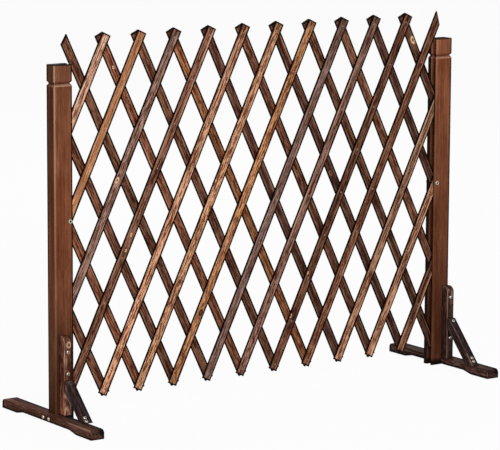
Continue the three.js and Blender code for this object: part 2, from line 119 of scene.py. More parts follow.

# Knots: per lath up to two of (across, level along the lath, radius), in millimetres but for the level. One
# with a radius below zero is pale with an orange eye, the others are dark.
FRONT_KNOTS = {
    2: [(2, 5.2, 1.6)], 3: [(-4, 3.2, -3.2)], 4: [(-1, 4.48, -1.8), (1, 4.82, -1.6)],
    5: [(-3, 3.1, 1.8), (2, 6.4, 1.6)], 6: [(5, 4.2, 1.6), (0, 5.7, 3.2)],
    7: [(1, 6.5, 5.0), (4, 4.4, 2.2)], 8: [(2, 2.2, 1.4)], 10: [(-6, 5.9, -1.5), (-8, 6.9, -2.0)],
    11: [(-4, 5.8, 2.2)], 13: [(-5, 5.6, 2.2), (-4, 7.5, 2.2)], 14: [(6, 7.8, 2.4)],
}
BACK_KNOTS = {
    2: [(1, 5.0, 1.8)], 5: [(0, 0.6, -1.7), (2, 1.4, 2.4)], 6: [(2, 1.9, 1.8)], 9: [(-3, 3.4, 2.0)],
    10: [(-4, 3.5, 2.4)], 12: [(-2, 3.0, 1.8)], 13: [(2, 1.05, 2.2)], 14: [(3, 0.46, -4.2)],
}
# Pale streaks, where the brush rubbed a lath's edge: side, first and last level, strength
FRONT_STREAKS = {
    1: [(1, 0.4, 2.2, 0.5)], 3: [(1, 4.4, 5.4, 0.4)],
    4: [(1, -0.2, 0.6, 1.0), (1, 0.8, 1.8, 0.5), (-1, 1.6, 3.0, 0.4)],
    5: [(-1, 0.3, 1.2, 0.6), (1, 2.2, 3.4, 0.4)], 6: [(1, 1.4, 3.0, 0.5), (-1, 4.6, 5.6, 0.4)],
    7: [(-1, 4.4, 5.4, 0.4)], 9: [(-1, 1.0, 2.6, 0.6), (-1, 3.6, 5.0, 0.7)], 11: [(1, 5.2, 6.4, 0.4)],
    12: [(-1, 2.0, 3.4, 0.8), (1, 2.4, 3.8, 0.5), (-1, 4.0, 5.2, 0.5)],
    13: [(1, 4.2, 5.2, 0.6), (1, 6.6, 7.6, 0.4)], 14: [(1, 5.9, 7.2, 0.8), (-1, 7.4, 8.0, 0.5)],
}
BACK_STREAKS = {
    1: [(-1, 0.0, 1.0, 0.4)], 5: [(-1, 2.2, 3.2, 0.4)], 8: [(1, 3.2, 4.4, 0.3)], 10: [(1, 0.2, 1.0, 0.5)],
    11: [(-1, 4.6, 5.8, 0.4)], 12: [(1, 1.2, 2.6, 0.4)], 14: [(-1, 3.8, 4.6, 0.6)],
}
# Stands for no knot: it lies far off the board
NO_KNOT = (1e4, 0.0, 1.0)
# How far apart the boards lie in the grain, in millimetres, so that no two look alike
BOARD_STAGGER = 1370.0
# Screws whose heads the stain covers
STAINED_SCREWS = ("left_brace_screw_3",)

# How light each piece is, times its tone, partly its stain and partly painted light and shade: first the
# heights in metres, the depths in metres or the shares of the length, then one row a side. SIDE is the post's
# narrow face towards the camera.
POST_HEIGHTS = [0, 0.15, 0.21, 0.28, 0.45, 0.742]
POST_LIGHT = {"left": [0.32, 0.38, 0.62, 0.88, 1.02, 0.75], "right": [0.48, 0.57, 0.62, 0.68, 0.83, 1.22]}
SIDE_HEIGHTS = [0, 0.1, 0.3, 0.45, 0.742]
SIDE_LIGHT = {"left": [0.6, 0.62, 1.1, 0.85, 0.47], "right": [0.7, 0.8, 1.0, 0.8, 0.4]}
FOOT_DEPTHS = [-0.177, -0.1, -0.02, 0.02, 0.1, 0.177]
FOOT_LIGHT = {"left": [1.15, 1.2, 1.3, 1.3, 1.4, 1.45], "right": [1.4, 1.6, 1.4, 1.1, 1.0, 1.0]}
CLEAT_HEIGHTS = [0.02, 0.06, 0.1, 0.185]
CLEAT_LIGHT = {"left": [2.2, 1.2, 0.72, 0.85], "right": [0.45, 0.5, 0.5, 0.75]}
BRACE_SHARES = [0, 0.08, 0.2, 0.6, 1]
BRACE_LIGHT = {"left": [2.8, 2.4, 1.1, 0.65, 0.9], "right": [1.0, 0.9, 0.7, 0.6, 0.9]}
# How strong the painted highlight along the near arris is, in the same way
HIGHLIGHT_HEIGHTS = [0, 0.3, 0.742]
POST_ARRIS_HIGHLIGHT = {"left": [0.05, 0.2, 0.6], "right": [0.02, 0.03, 0.2]}
HIGHLIGHT_SHARES = [0, 0.1, 0.2, 0.7, 0.82, 1]
BRACE_ARRIS_HIGHLIGHT = {"left": [0.2, 0.1, 0.0, 0.0, 0.1, 0.2], "right": [0.1, 0.1, 0.2, 0.12, 0.5, 0.6]}
FOOT_HIGHLIGHT_DEPTHS = [-0.177, -0.165, -0.1, -0.08]
FOOT_ARRIS_HIGHLIGHT = {"left": [0.3, 0.6, 0.5, 0.0], "right": [0.0, 0.0, 0.0, 0.0]}
# The cleats' heights in millimetres and the strength of the painted highlight on the near arris, and their
# knots like a lath's but with a height for the level
CLEAT_ARRIS_HIGHLIGHT = {"left": ([40, 120, 135, 152, 160, 185], [0, 0.1, 0.7, 0.7, 0.2, 0.6]),
              "right": ([20, 100, 140, 185], [0.25, 0.2, 0.35, 0.5])}
CLEAT_KNOTS = {"left": (3, 168, 3.0), "right": (3, 150, 1.6)}
# How dirty steel is along a rivet's profile, from the rear head to the front one, and how dark the painted
# shade is in a bolt's hollow
RIVET_DIRT = [0.3, 0.4, 0.7, 0.9, 0.9, 0.9, 0.75, 0.4, 0.3]
BOLT_HOLLOW_SHADE = [0.6, 0.95, 0.95]

# A stain from its darkest grain to its palest: place, then what red, green and blue are multiplied by
STAIN_RAMP = [(0.05, 0.42, 0.22, 0.14), (0.36, 0.76, 0.62, 0.52), (0.5, 0.96, 0.94, 0.92),
              (0.64, 1.3, 1.36, 1.42), (0.8, 1.85, 2.1, 2.3), (0.95, 2.45, 2.85, 3.2)]
# A knot from its middle outwards: place, colour and cover
DARK_KNOT = [(0.0, "#7a4526", 0.9), (0.22, "#4a2414", 0.9), (0.34, "#1c0f0a", 0.95),
             (0.46, "#b07c54", 0.7), (0.58, "#98643f", 0.35), (0.8, "#5c3a28", 0.0)]
PALE_KNOT = [(0.0, "#8a4c22", 0.9), (0.2, "#6a3818", 0.9), (0.3, "#e6c49c", 1.0),
             (0.5, "#d8b088", 0.9), (0.62, "#a87450", 0.4), (0.8, "#5c3a28", 0.0)]
# Place on those ramps per radius from the knot's middle, and what a millimetre across, through and along
# counts: less along, so a knot is longer that way
KNOT_REACH, KNOT_SHAPE = 0.4, (1, 0, 0.6)
# Width and length of the stain's slow drift in millimetres, and the usual roughness of wood and of steel
WOOD_DRIFT, WOOD_ROUGH, STEEL_ROUGH = (32, 150), 0.8, 0.35

# The camera, from the fit of the lattice's crossings: azimuth, elevation and roll in degrees, distance and
# aim in metres, lens and sensor in millimetres
CAMERA_ANGLES = (-34.886, 9.533, 0.281)
CAMERA_AWAY, CAMERA_AIM = 6.198245, (-0.009812, 0.013398, 0.365554)
CAMERA_LENS, CAMERA_SENSOR = 208.216, 36
# Soft boxes: azimuth and elevation in degrees, distance and size in metres, watts
LAMPS = {"key": (-20, 24, 4.2, 1.8, 112), "fill": (60, 30, 4.5, 2.6, 14), "back": (155, 35, 4.5, 2.2, 50)}
LAMP_AIM = (0, 0, 0.4)
# The floor is a disc, in metres
FLOOR_RADIUS, FLOOR_SIDES = 30, 96


def linear(code):
    """An sRGB hex colour as linear red, green and blue. A channel v over 0.04045 becomes (v + 0.055) / 1.055
    to the power of 2.4, and a darker one v / 12.92."""
    return [((v + 0.055) / 1.055) ** 2.4 if v > 0.04045 else v / 12.92
            for v in (int(code[i:i + 2], 16) / 255 for i in (1, 3, 5))]


def tone(label, text, code):
    """A colour that a user may change."""
    return FloatVectorProperty(name=label, description=text, subtype="COLOR", size=3, min=0, max=1,
                               default=linear(code))


def length(label, text, millimetres):
    """A size that a user may change."""
    return FloatProperty(name=label, description=text, default=millimetres * MM, min=0, unit="LENGTH",
                         precision=5)


class TrellisSizes(bpy.types.PropertyGroup):
    """Sizes of the details that the frame leaves open."""
    lath_round: length("Lath arris", "Rounding of the laths' long edges", 0.9)
    lath_wander: length("Lath wander", "How far a lath's sides wander from straight", 0.25)
    end_break: length("End break", "Small bevel where a lath is cut off", 0.5)
    lath_rim: length("Lath rim", "How far the flame darkened a lath's face from its edges", 3.9)
    rivet_head: length("Rivet head", "Diameter of a rivet's head", 4.3)
    rivet_rise: length("Rivet rise", "How far a rivet's head stands proud", 0.7)
    post_round: length("Post arris", "Bevel of the posts' long edges", 1.7)
    post_rim: length("Post rim", "How far the flame darkened a post from its arrises", 2.4)
    post_top: length("Post top bevel", "Bevel round the top of a post", 1.4)
    groove_depth: length("Groove depth", "Depth of the V groove round a post", 3.8)
    groove_height: length("Groove height", "Height of the V groove round a post", 10)
    groove_drop: length("Groove drop", "From a post's top down to its groove", 38.5)
    slot_width: length("Slot width", "Width of the slot that takes the lath ends", 13.1)
    slot_reach: length("Slot reach", "From a pivot to the slot's end", 17.91)
    board_round: length("Board arris", "Rounding of the feet, cleats and braces", 1.0)
    board_rim: length("Board rim", "How far the arrises of feet, cleats and braces are marked", 1.6)
    brace_thick: length("Brace thickness", "Thickness of a brace across its slope", 20)
    brace_cut: length("Brace point cut", "How much of a brace's upper point is cut off level", 7)
    nose_round: length("Foot nose", "Rounding of a foot's upper end", 8)
    cleat_round: length("Cleat top", "Rounding of a cleat's upper front corner", 15)
    head_width: length("Screw head", "Diameter of a wood screw's head", 7)
    head_rise: length("Screw head rise", "How far a screw's head stands proud", 1.7)
    bolt_width: length("Bolt head", "Diameter of a pivot bolt's head", 9)
    bolt_rise: length("Bolt head rise", "How far a pivot bolt's head stands proud", 2.5)
    round_steps: IntProperty(name="Round steps", description="Steps round a screw head", default=40, min=12)


class TrellisTones(bpy.types.PropertyGroup):
    """Colours of the stains and of the steel."""
    rose: tone("Rose", "Pinkish light tan lath", "#a0765f")
    honey: tone("Honey", "Light even lath", "#a36f4c")
    gold: tone("Gold", "Light amber lath with pale flecks", "#a27150")
    sand: tone("Sand", "Streaky tan lath", "#9a6a4e")
    amber: tone("Amber", "Orange brown lath", "#98643f")
    mauve: tone("Mauve", "Grey brown lath", "#70544a")
    fawn: tone("Fawn", "Pinkish grey brown lath", "#7a594c")
    smoke: tone("Smoke", "Grey brown lath with pale streaks", "#6b4a3d")
    walnut: tone("Walnut", "Middle red brown lath", "#764a36")
    russet: tone("Russet", "Red brown lath", "#6e3f2a")
    rust: tone("Rust", "Orange brown back lath", "#7c4a2b")
    umber: tone("Umber", "Dark brown lath", "#5e3826")
    char: tone("Char", "Darkest lath", "#4a2b20")
    post: tone("Post", "Stain of the posts", "#76452d")
    foot: tone("Foot", "Stain of the left foot", "#54362b")
    cleat: tone("Cleat", "Stain of the left cleat", "#5f3b2c")
    dusk: tone("Dusk", "Grey brown stain of the right foot and cleat", "#45302a")
    brace: tone("Brace", "Stain of the braces", "#3a2b29")
    # This dark tone also paints the shade on the laths' narrow faces
    burnt_and_shaded: tone("Burnt edge", "Where the flame darkened the edges", "#0c0302")
    # This pale tone also paints the highlights on the arrises of posts, cleats, feet and braces and on the
    # posts' groove lip
    wear_and_highlight: tone("Worn arris", "Where an arris is rubbed pale", "#cfa286")
    zinc: tone("Zinc", "Plated steel of the screws and pivot bolts", "#e2ddd2")
    rivet: tone("Rivet", "Plated steel of the rivets, stained over", "#b88f70")
    floor: tone("Floor", "Floor under the trellis", "#f7f7f7")


def add(tree, kind, inputs=(), **settings):
    """Adds one node. inputs gives, per socket name or number, a value or the (node, output)
    that feeds it."""
    made = tree.nodes.new(kind)
    for key, value in settings.items():
        setattr(made, key, value)
    for key, value in dict(inputs).items():
        if isinstance(value, tuple) and isinstance(value[0], bpy.types.Node):
            tree.links.new(value[0].outputs[value[1]], made.inputs[key])
        else:
            made.inputs[key].default_value = value
    return made


def stops(ramp, places):
    """Gives a colour ramp its stops: (place, red, green, blue, alpha) each."""
    line = ramp.color_ramp.elements
    while len(line) < len(places):
        line.new(0.5)
    for stop, (place, *colour) in zip(line, places):
        stop.position = place
        stop.color = colour


def scaled(colour, red, green, blue):
    """A colour with each channel multiplied."""
    return (min(1, colour[0] * red), min(1, colour[1] * green), min(1, colour[2] * blue), 1)


# Per tone: the material's name, then how strong its streaks, flecks and slow drift are, how dark its marked
# edges are, burnt on the arrises and also painted shade on the laths' narrow faces, and the width and length
# of a streak and of a fleck in millimetres. The eye sees strong streaks and flecks on a brushed lath, an even
# stain on a planed post, and soft broad streaks on sawn boards.
WOODS = {
    "rose": ("pine lath flamed brushed rose", 5.4, 3.6, 0.8),
    "honey": ("pine lath flamed brushed honey", 2.0, 1.2, 1.0),
    "gold": ("pine lath flamed brushed gold", 5.5, 6.0, 0.8),
    "sand": ("pine lath flamed brushed sand", 10.0, 6.0, 1.6),
    "amber": ("pine lath flamed brushed amber", 4.4, 5.0, 1.6),
    "mauve": ("pine lath flamed brushed mauve", 2.8, 2.4, 0.8),
    "fawn": ("pine lath flamed brushed fawn", 4.2, 3.6, 0.8),
    "smoke": ("pine lath flamed brushed smoke", 7.0, 5.4, 0.8),
    "walnut": ("pine lath flamed brushed walnut", 11.0, 6.0, 2.0),
    "russet": ("pine lath flamed brushed russet", 5.4, 3.8, 1.3),
    "rust": ("pine lath flamed brushed rust", 4.4, 3.2, 1.2),
    "umber": ("pine lath flamed brushed umber", 5.8, 4.0, 1.5),
    "char": ("pine lath flamed brushed char", 3.6, 2.6, 1.2),
    "post": ("pine post planed stained", 0.7, 0.5, 0.9, 2.2, (3.4, 160), (1.8, 18)),
    "foot": ("pine foot sawn stained", 2.0, 1.4, 1.2, 1.6, (3.4, 60), (3, 18)),
    "cleat": ("pine cleat sawn flamed", 3.4, 2.4, 1.2, 1.3, (3.0, 50), (3, 12)),
    "dusk": ("pine board sawn flamed grey brown", 3.0, 2.0, 1.2, 1.5, (3.0, 50), (3, 14)),
    "brace": ("pine brace sawn flamed dark", 4.0, 2.6, 1.2, 1.5, (2.8, 60), (2.6, 12)),
}


def new_material(name):
    """A new material of that name, with its node tree and its shader."""
    material = bpy.data.materials.new(name)
    material.use_nodes = True
    return material, material.node_tree, material.node_tree.nodes["Principled BSDF"]


def finish_surface(tree, shader, paint, rough, bump):
    """Feeds the shader its colour, roughness and relief, each given as (node, output)."""
    for (source, output), socket in ((paint, "Base Color"), (rough, "Roughness"), (bump, "Normal")):
        tree.links.new(source.outputs[output], shader.inputs[socket])


def stained_wood(name, base, burnt_and_shaded, wear_and_highlight, streak, fleck, drift, burn_and_shade=3.6, grain=(2.6, 70), spots=(2.3, 18)):
    """Softwood that was flamed, brushed and stained, so the eye sees light and dark streaks along the grain,
    short flecks where the brush opened the soft wood, knots that the grain runs round, burnt arrises and
    ends, some arrises rubbed pale, painted highlights on other arrises, painted shade on the laths' narrow
    faces, and almost no shine. Lay is a point's place on its own board in millimetres: across, through,
    along. Marks is edge, end and lightness; the lightness is partly the stain's own and partly painted light
    and shade, and an edge below zero is pale, rubbed on some arrises and a painted highlight on others. grain
    is the width and length of a streak and spots of a fleck, in millimetres. Real streaks are from 0.5 mm
    wide; they are drawn as wide as the picture can show."""
    material, tree, shader = new_material(name)
    lay = add(tree, "ShaderNodeAttribute", attribute_name="lay")
    marks = add(tree, "ShaderNodeAttribute", attribute_name="marks")
    place = add(tree, "ShaderNodeSeparateXYZ", {0: (lay, 1)})
    mark = add(tree, "ShaderNodeSeparateXYZ", {0: (marks, 1)})
    across = (place, 0)
    rings = []
    for knot in ("knot_one", "knot_two"):
        # The grain passes a knot as water passes a post: it is pushed aside by radius squared over
        # distance squared
        spot = add(tree, "ShaderNodeAttribute", attribute_name=knot)
        parts = add(tree, "ShaderNodeSeparateXYZ", {0: (spot, 1)})
        centre = add(tree, "ShaderNodeCombineXYZ", {0: (parts, 0), 2: (parts, 1)})
        away = add(tree, "ShaderNodeVectorMath", {0: (lay, 1), 1: (centre, 0)}, operation="SUBTRACT")
        oval = add(tree, "ShaderNodeVectorMath", {0: (away, 0), 1: KNOT_SHAPE}, operation="MULTIPLY")
        far = add(tree, "ShaderNodeVectorMath", {0: (oval, 0)}, operation="LENGTH")
        size = add(tree, "ShaderNodeMath", {0: (parts, 2)}, operation="ABSOLUTE")
        ring = add(tree, "ShaderNodeMath", {0: (far, 1), 1: (size, 0)}, operation="DIVIDE")
        held = add(tree, "ShaderNodeMath", {0: (ring, 0), 1: 1.0}, operation="MAXIMUM")
        push = add(tree, "ShaderNodeMath", {0: (held, 0), 1: -2.0}, operation="POWER")
        side = add(tree, "ShaderNodeSeparateXYZ", {0: (away, 0)})
        shift = add(tree, "ShaderNodeMath", {0: (side, 0), 1: (push, 0)}, operation="MULTIPLY")
        across = (add(tree, "ShaderNodeMath", {0: across, 1: (shift, 0)}, operation="SUBTRACT"), 0)
        rings.append((ring, add(tree, "ShaderNodeMath", {0: (parts, 2), 1: 0.0}, operation="LESS_THAN")))
    flow = add(tree, "ShaderNodeCombineXYZ", {0: across, 1: (place, 1), 2: (place, 2)})
    noises = []
    for wide, long, detail in ((*grain, 4.0), (*spots, 2.0), (*WOOD_DRIFT, 2.0)):
        cell = add(tree, "ShaderNodeVectorMath", {0: (flow, 0), 1: (1 / wide, 1 / wide, 1 / long)},
                   operation="MULTIPLY")
        noises.append(add(tree, "ShaderNodeTexNoise", {"Vector": (cell, 0), "Scale": 1.0, "Detail": detail,
                                                       "Roughness": 0.6}))
    level = 0.5 - 0.5 * (streak + fleck + drift)
    for noise, share in zip(noises, (streak, fleck, drift)):
        level = (add(tree, "ShaderNodeMath", {0: (noise, 0), 1: share, 2: level},
                     operation="MULTIPLY_ADD"), 0)
    colours = add(tree, "ShaderNodeValToRGB", {0: level})
    stops(colours, [(at, *scaled(base, *shares)) for at, *shares in STAIN_RAMP])
    lit = add(tree, "ShaderNodeVectorMath", {0: (colours, 0), 3: (mark, 2)}, operation="SCALE")
    paint = (lit, 0)
    for ring, pale in rings:
        near = add(tree, "ShaderNodeMath", {0: (ring, 0), 1: KNOT_REACH}, operation="MULTIPLY")
        eye = add(tree, "ShaderNodeValToRGB", {0: (near, 0)})
        stops(eye, [(at, *linear(code), much) for at, code, much in DARK_KNOT])
        bright = add(tree, "ShaderNodeValToRGB", {0: (near, 0)})
        stops(bright, [(at, *linear(code), much) for at, code, much in PALE_KNOT])
        shown = add(tree, "ShaderNodeMix", {0: (pale, 0), 6: (eye, 0), 7: (bright, 0)}, data_type="RGBA")
        cover = add(tree, "ShaderNodeMix", {0: (pale, 0), 2: (eye, 1), 3: (bright, 1)})
        paint = (add(tree, "ShaderNodeMix", {0: (cover, 0), 6: paint, 7: (shown, 2)}, data_type="RGBA"), 2)
    # Rubbed arrises and painted highlights are pale, and burnt arrises, painted shade on the laths' narrow
    # faces and ends are dark
    for channel, factor, colour in ((0, -1.0, wear_and_highlight), (0, burn_and_shade, burnt_and_shaded), (1, 1.5, burnt_and_shaded)):
        much = add(tree, "ShaderNodeMath", {0: (mark, channel), 1: factor}, operation="MULTIPLY",
                   use_clamp=True)
        paint = (add(tree, "ShaderNodeMix", {0: (much, 0), 6: paint, 7: (*colour, 1)}, data_type="RGBA"), 2)
    rough = add(tree, "ShaderNodeMath", {0: (noises[0], 0), 1: -0.3, 2: WOOD_ROUGH + 0.15},
                operation="MULTIPLY_ADD")
    relief = add(tree, "ShaderNodeMath", {0: (noises[0], 0), 1: (noises[1], 0)}, operation="ADD")
    bump = add(tree, "ShaderNodeBump", {"Height": (relief, 0), "Distance": 0.0004, "Strength": 0.5})
    finish_surface(tree, shader, paint, (rough, 0), (bump, 0))
    shader.inputs["IOR"].default_value = 1.45
    shader.inputs["Specular IOR Level"].default_value = 0.08
    return material


def plated_steel(name, base):
    """Zinc-plated steel, tumbled, so the eye sees a pale metal, browned by stain on the rivets, whose gloss
    varies a little and whose dents are soft. Where marks says, a dark colour is mixed in: dirt round the
    rivets' rims, stain over some screws, and painted shade in the screws' recesses and the bolts' hollows."""
    material, tree, shader = new_material(name)
    where = add(tree, "ShaderNodeTexCoord")
    marks = add(tree, "ShaderNodeAttribute", attribute_name="marks")
    mark = add(tree, "ShaderNodeSeparateXYZ", {0: (marks, 1)})
    # Cloudy zinc crystals, 1.2 mm across
    cloud = add(tree, "ShaderNodeTexNoise", {"Vector": (where, 3), "Scale": 800.0, "Detail": 2.0})
    tint = add(tree, "ShaderNodeValToRGB", {0: (cloud, 0)})
    stops(tint, [(0.3, *scaled(base, 0.62, 0.62, 0.6)), (0.7, *scaled(base, 1, 1, 1))])
    dirt_and_shade = (*linear("#120e0c"), 1)
    paint = add(tree, "ShaderNodeMix", {0: (mark, 0), 6: (tint, 0), 7: dirt_and_shade}, data_type="RGBA")
    rough = add(tree, "ShaderNodeMath", {0: (cloud, 0), 1: 0.25, 2: STEEL_ROUGH - 0.1},
                operation="MULTIPLY_ADD")
    bump = add(tree, "ShaderNodeBump", {"Height": (cloud, 0), "Distance": 0.0001, "Strength": 0.3})
    finish_surface(tree, shader, (paint, 2), (rough, 0), (bump, 0))
    shader.inputs["Metallic"].default_value = 1.0
    return material


def wood(kind):
    """The material of that name, made once."""
    tones = bpy.context.scene.trellis_tones
    base, burnt_and_shaded, wear_and_highlight = (list(getattr(tones, label)) for label in (kind, "burnt_and_shaded", "wear_and_highlight"))
    name, *habit = WOODS[kind]
    return bpy.data.materials.get(name) or stained_wood(name, base, burnt_and_shaded, wear_and_highlight, *habit)


def steel(kind):
    """The plated steel of that name, made once."""
    name = {"zinc": "steel zinc plated", "rivet": "steel rivet zinc plated stained"}[kind]
    base = list(getattr(bpy.context.scene.trellis_tones, kind))
    return bpy.data.materials.get(name) or plated_steel(name, base)


def corners(node):
    """The lowest and the highest corner of a CAD node's box."""
    return [np.array(corner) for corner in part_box(node)]


def joined(*parts):
    """Arrays spread to one shape and set side by side along a new last axis."""
    return np.stack(np.broadcast_arrays(*parts), -1)


def shell(rings):
    """Points and faces of one closed body. rings has the shape (rings, points round, 3): a quad joins
    each point to the next ring's, and one flat face closes each end. The faces are turned to look
    outwards, by the sign of the volume that they enclose, the sum over triangles of corner dot (corner
    cross corner) / 6."""
    rows, around = rings.shape[:2]
    row = np.arange(rows - 1)[:, None] * around
    here = np.arange(around)[None, :]
    after = (here + 1) % around
    quads = np.stack([row + here, row + after, row + around + after, row + around + here], -1).reshape(-1, 4)
    points = rings.reshape(-1, 3)
    last = (rows - 1) * around
    ends = [np.arange(around)[::-1], np.arange(last, last + around)]
    middle = points.mean(0)
    fans = [np.stack([np.full(around - 2, end[0]), end[1:-1], end[2:]], -1) for end in ends]
    triangles = np.concatenate([quads[:, :3], quads[:, [0, 2, 3]], *fans])
    a, b, c = (points[triangles[:, i]] - middle for i in range(3))
    if np.einsum("ij,ij->", a, np.cross(b, c)) < 0:
        quads = quads[:, ::-1]
        ends = [end[::-1] for end in ends]
    return points, quads, ends


def piece(name, bodies, material, body, nodes, lay=None, marks=None, knots=(NO_KNOT, NO_KNOT), crease=35):
    """One object from closed bodies of rings. lay and marks give each point three numbers for the material.
    An edge is sharp over an angle of crease, in degrees."""
    points, faces, start = [], [], 0
    for rings in bodies:
        some, quads, ends = shell(rings)
        points.append(some)
        faces += (quads + start).tolist() + [(end + start).tolist() for end in ends]
        start += len(some)
    points = np.concatenate(points)
    mesh = bpy.data.meshes.new(name)
    mesh.from_pydata(points.tolist(), [], faces)
    values = {"lay": lay, "marks": marks}
    if lay is not None:
        values["knot_one"], values["knot_two"] = (np.broadcast_to(knot, points.shape) for knot in knots)
    for label, value in values.items():
        if value is not None:
            layer = mesh.attributes.new(label, "FLOAT_VECTOR", "POINT")
            layer.data.foreach_set("vector", np.ascontiguousarray(value, dtype=np.float32).ravel())
    mesh.polygons.foreach_set("use_smooth", np.ones(len(faces), dtype=bool))
    mesh.set_sharp_from_angle(angle=math.radians(crease))
    mesh.materials.append(material)
    mesh.validate()
    made = bpy.data.objects.new(name, mesh)
    bpy.context.scene.collection.objects.link(made)
    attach(made, body)
    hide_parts(*nodes)


def rounded(half_wide, half_thick, radius, rim, flank=0.0, steps=3, across=0):
    """Section of a board with rounded arrises: four quarter circles, each with a point a rim's width from
    it along the faces on both sides, so that a mark fades there, and across points on the front face.
    Returns the points (u, v) and how much each is on the edge, which is flank at the rim points of the
    two narrow faces."""
    turn = np.linspace(0, math.pi / 2, steps)
    beside = min(rim, 0.9 * (half_thick - radius))
    over = min(rim, 0.9 * (half_wide - radius))
    quarter = np.concatenate([[[radius, -beside]], radius * np.stack([np.cos(turn), np.sin(turn)], -1),
                              [[-over, radius]]])
    edge = np.concatenate([[flank], np.ones(steps), [0]])
    arcs, marks = [], []
    for sx, sy in ((1, 1), (-1, 1), (-1, -1), (1, -1)):
        step = sx * sy
        arcs.append((quarter * (sx, sy) + [sx * (half_wide - radius), sy * (half_thick - radius)])[::step])
        marks.append(edge[::step])
    if across:
        reach = np.linspace(over + radius - half_wide, half_wide - radius - over, across + 2)[1:-1]
        arcs.insert(3, np.stack([reach, np.full(across, -half_thick)], -1))
        marks.insert(3, np.zeros(across))
    return np.concatenate(arcs), np.concatenate(marks)


def span_of(index, is_front):
    """A lath's column at a level, twice its index less the level on a front lath and plus it on a back one,
    and the levels where that column lies between the posts."""
    def column(level):
        return 2 * index - level if is_front else 2 * index + level
    reached = [level for level in range(LEVELS + 1) if 0 <= column(level) <= COLUMNS]
    return column, reached


def along(level):
    """Height of a level along a lath: the levels from it down to the middle one times the
    rivets' spacing."""
    return (MID_LEVEL - level) * RIVET_STEP


def rubbed_edge(edge, section, height, number, is_front):
    """Edge marks of a lath with its pale lines, which lie beside both dark rims: a faint one all along,
    whose strength is a sum of sines of the height, and the listed streaks, each a flat-topped bell curve, of
    the fourth power, about its middle level."""
    u = section[None, :, 0]
    level = MID_LEVEL - height / RIVET_STEP
    pale = 0 * level
    for side in (-1, 1):
        line = np.exp(-((side * u - (LATH_WIDTH / 2 - PALE_LINE[side])) / PALE_LINE_WIDTH) ** 2)
        faint = 0.16 + 0.1 * np.sin(height / (17 * MM) + number * side)
        faint = faint + 0.08 * np.sin(height / (7.1 * MM) + 2 * number)
        streaks = (FRONT_STREAKS if is_front else BACK_STREAKS).get(number, [])
        strong = sum(much * np.exp(-((level - (first + last) / 2) / (0.55 * (last - first))) ** 4)
                     for way, first, last, much in streaks if way == side)
        pale = pale + line * (np.clip(faint, 0, 1) + strong)
    front = section[None, :, 1] < -0.49 * LATH_THICK
    return np.where(front & (edge[None, :] == 0), -np.clip(pale, 0, 1), edge[None, :])


def lath(index, is_front, sizes):
    """A lath: a rounded section carried along the lath's own line. Its half width wanders by a sum of two
    sines of the height, its upper end may be cut aslant, and a small break eases both ends. lay is
    (across, through, along)."""
    column, reached = span_of(index, is_front)
    at_top = reached[0] == 0
    high = along(reached[0]) + (HIGH_TAIL if at_top else LOW_TAIL)
    low = along(reached[-1]) - LOW_TAIL
    left = right = high
    if at_top and column(0) == 0 and not is_front:
        left = along(0) + LEFT_END_SHORT
    if at_top and column(0) == COLUMNS and is_front:
        right = along(0) + RIGHT_END_SHORT
    number = index if is_front else index + BACK_OFFSET
    stain = (FRONT_STAIN if is_front else BACK_STAIN)[number - 1]
    knots = (FRONT_KNOTS if is_front else BACK_KNOTS).get(number, [])
    section, edge = rounded(LATH_WIDTH / 2, LATH_THICK / 2, sizes.lath_round, sizes.lath_rim, FLANK_MARK,
                            across=7)
    edge = np.where((section[:, 0] < 0) & (section[:, 1] < 0) & (edge == 1), LEFT_ARRIS_MARK, edge)
    # The flame came from the right, so the left rim is narrower
    section[(edge == 0) & (section[:, 0] < 1.5 * sizes.lath_rim - LATH_WIDTH / 2), 0] -= 0.6 * sizes.lath_rim
    run = high - low
    ends = np.array([0, sizes.end_break, TIP_DARK, TIP_FADED]) / run
    between = np.linspace(0.02, 0.98, max(12, int(run / LATH_RING_STEP)))
    share = np.concatenate([ends, between, 1 - ends[::-1]])
    tip = np.concatenate([[1, 1, 0.6, 0], np.zeros(len(share) - 8), [0, 0.7, 1, 1]])
    inset = np.concatenate([[sizes.end_break], np.zeros(len(share) - 2), [sizes.end_break]])
    u = np.clip(section[None, :, 0], inset[:, None] - LATH_WIDTH / 2, LATH_WIDTH / 2 - inset[:, None])
    v = np.clip(section[None, :, 1], inset[:, None] - LATH_THICK / 2, LATH_THICK / 2 - inset[:, None])
    top = left + (right - left) * (u / LATH_WIDTH + 0.5)
    height = low + share[:, None] * (top - low)
    phase = number * 1.7 + (0 if is_front else 2.6)
    waves = sum(much * np.sin(height / long + shift * phase) for much, long, shift in WANDER)
    u = u * (1 - sizes.lath_wander * (0.5 + waves) / (LATH_WIDTH / 2))
    lean = LEAN if is_front else -LEAN
    across = np.array([math.cos(lean), 0, -math.sin(lean)])
    line = np.array([math.sin(lean), 0, math.cos(lean)])
    layer = (-1 if is_front else 1) * (LATH_THICK + LAYER_PLAY) / 2
    centre = np.array([(column(MID_LEVEL) - COLUMNS / 2) * COLUMN_STEP, LATTICE_Y + layer, PIVOT_Z])
    through = np.array([0, 1, 0])
    rings = centre + u[..., None] * across + v[..., None] * through + height[..., None] * line
    board = (number + (0 if is_front else 20)) * BOARD_STAGGER
    lay = np.stack([u / MM, v / MM, height / MM + board], -1)
    light = np.interp(share, [0, 0.5, 1], [stain[3], stain[2], stain[1]])
    if at_top and not (is_front and number < 3):
        # The upper tips were flamed darker; two of the front laths were not
        light = light * (1 - TIP_FLAME * np.exp(-((1 - share) * run / TIP_FLAME_REACH) ** 2))
    edge = rubbed_edge(edge, section, height, number, is_front)
    marks = joined(edge, tip[:, None], light[:, None])
    spots = [(x, along(level) / MM + board, radius) for x, level, radius in knots] + [NO_KNOT, NO_KNOT]
    kind = "front" if is_front else "back"
    piece("%s_lath_%02d" % (kind, number), [rings], wood(stain[0]), "%s_%02d" % (kind, number),
          ["%s_slat_%02d" % (kind, number)], lay.reshape(-1, 3), marks.reshape(-1, 3), spots[:2])


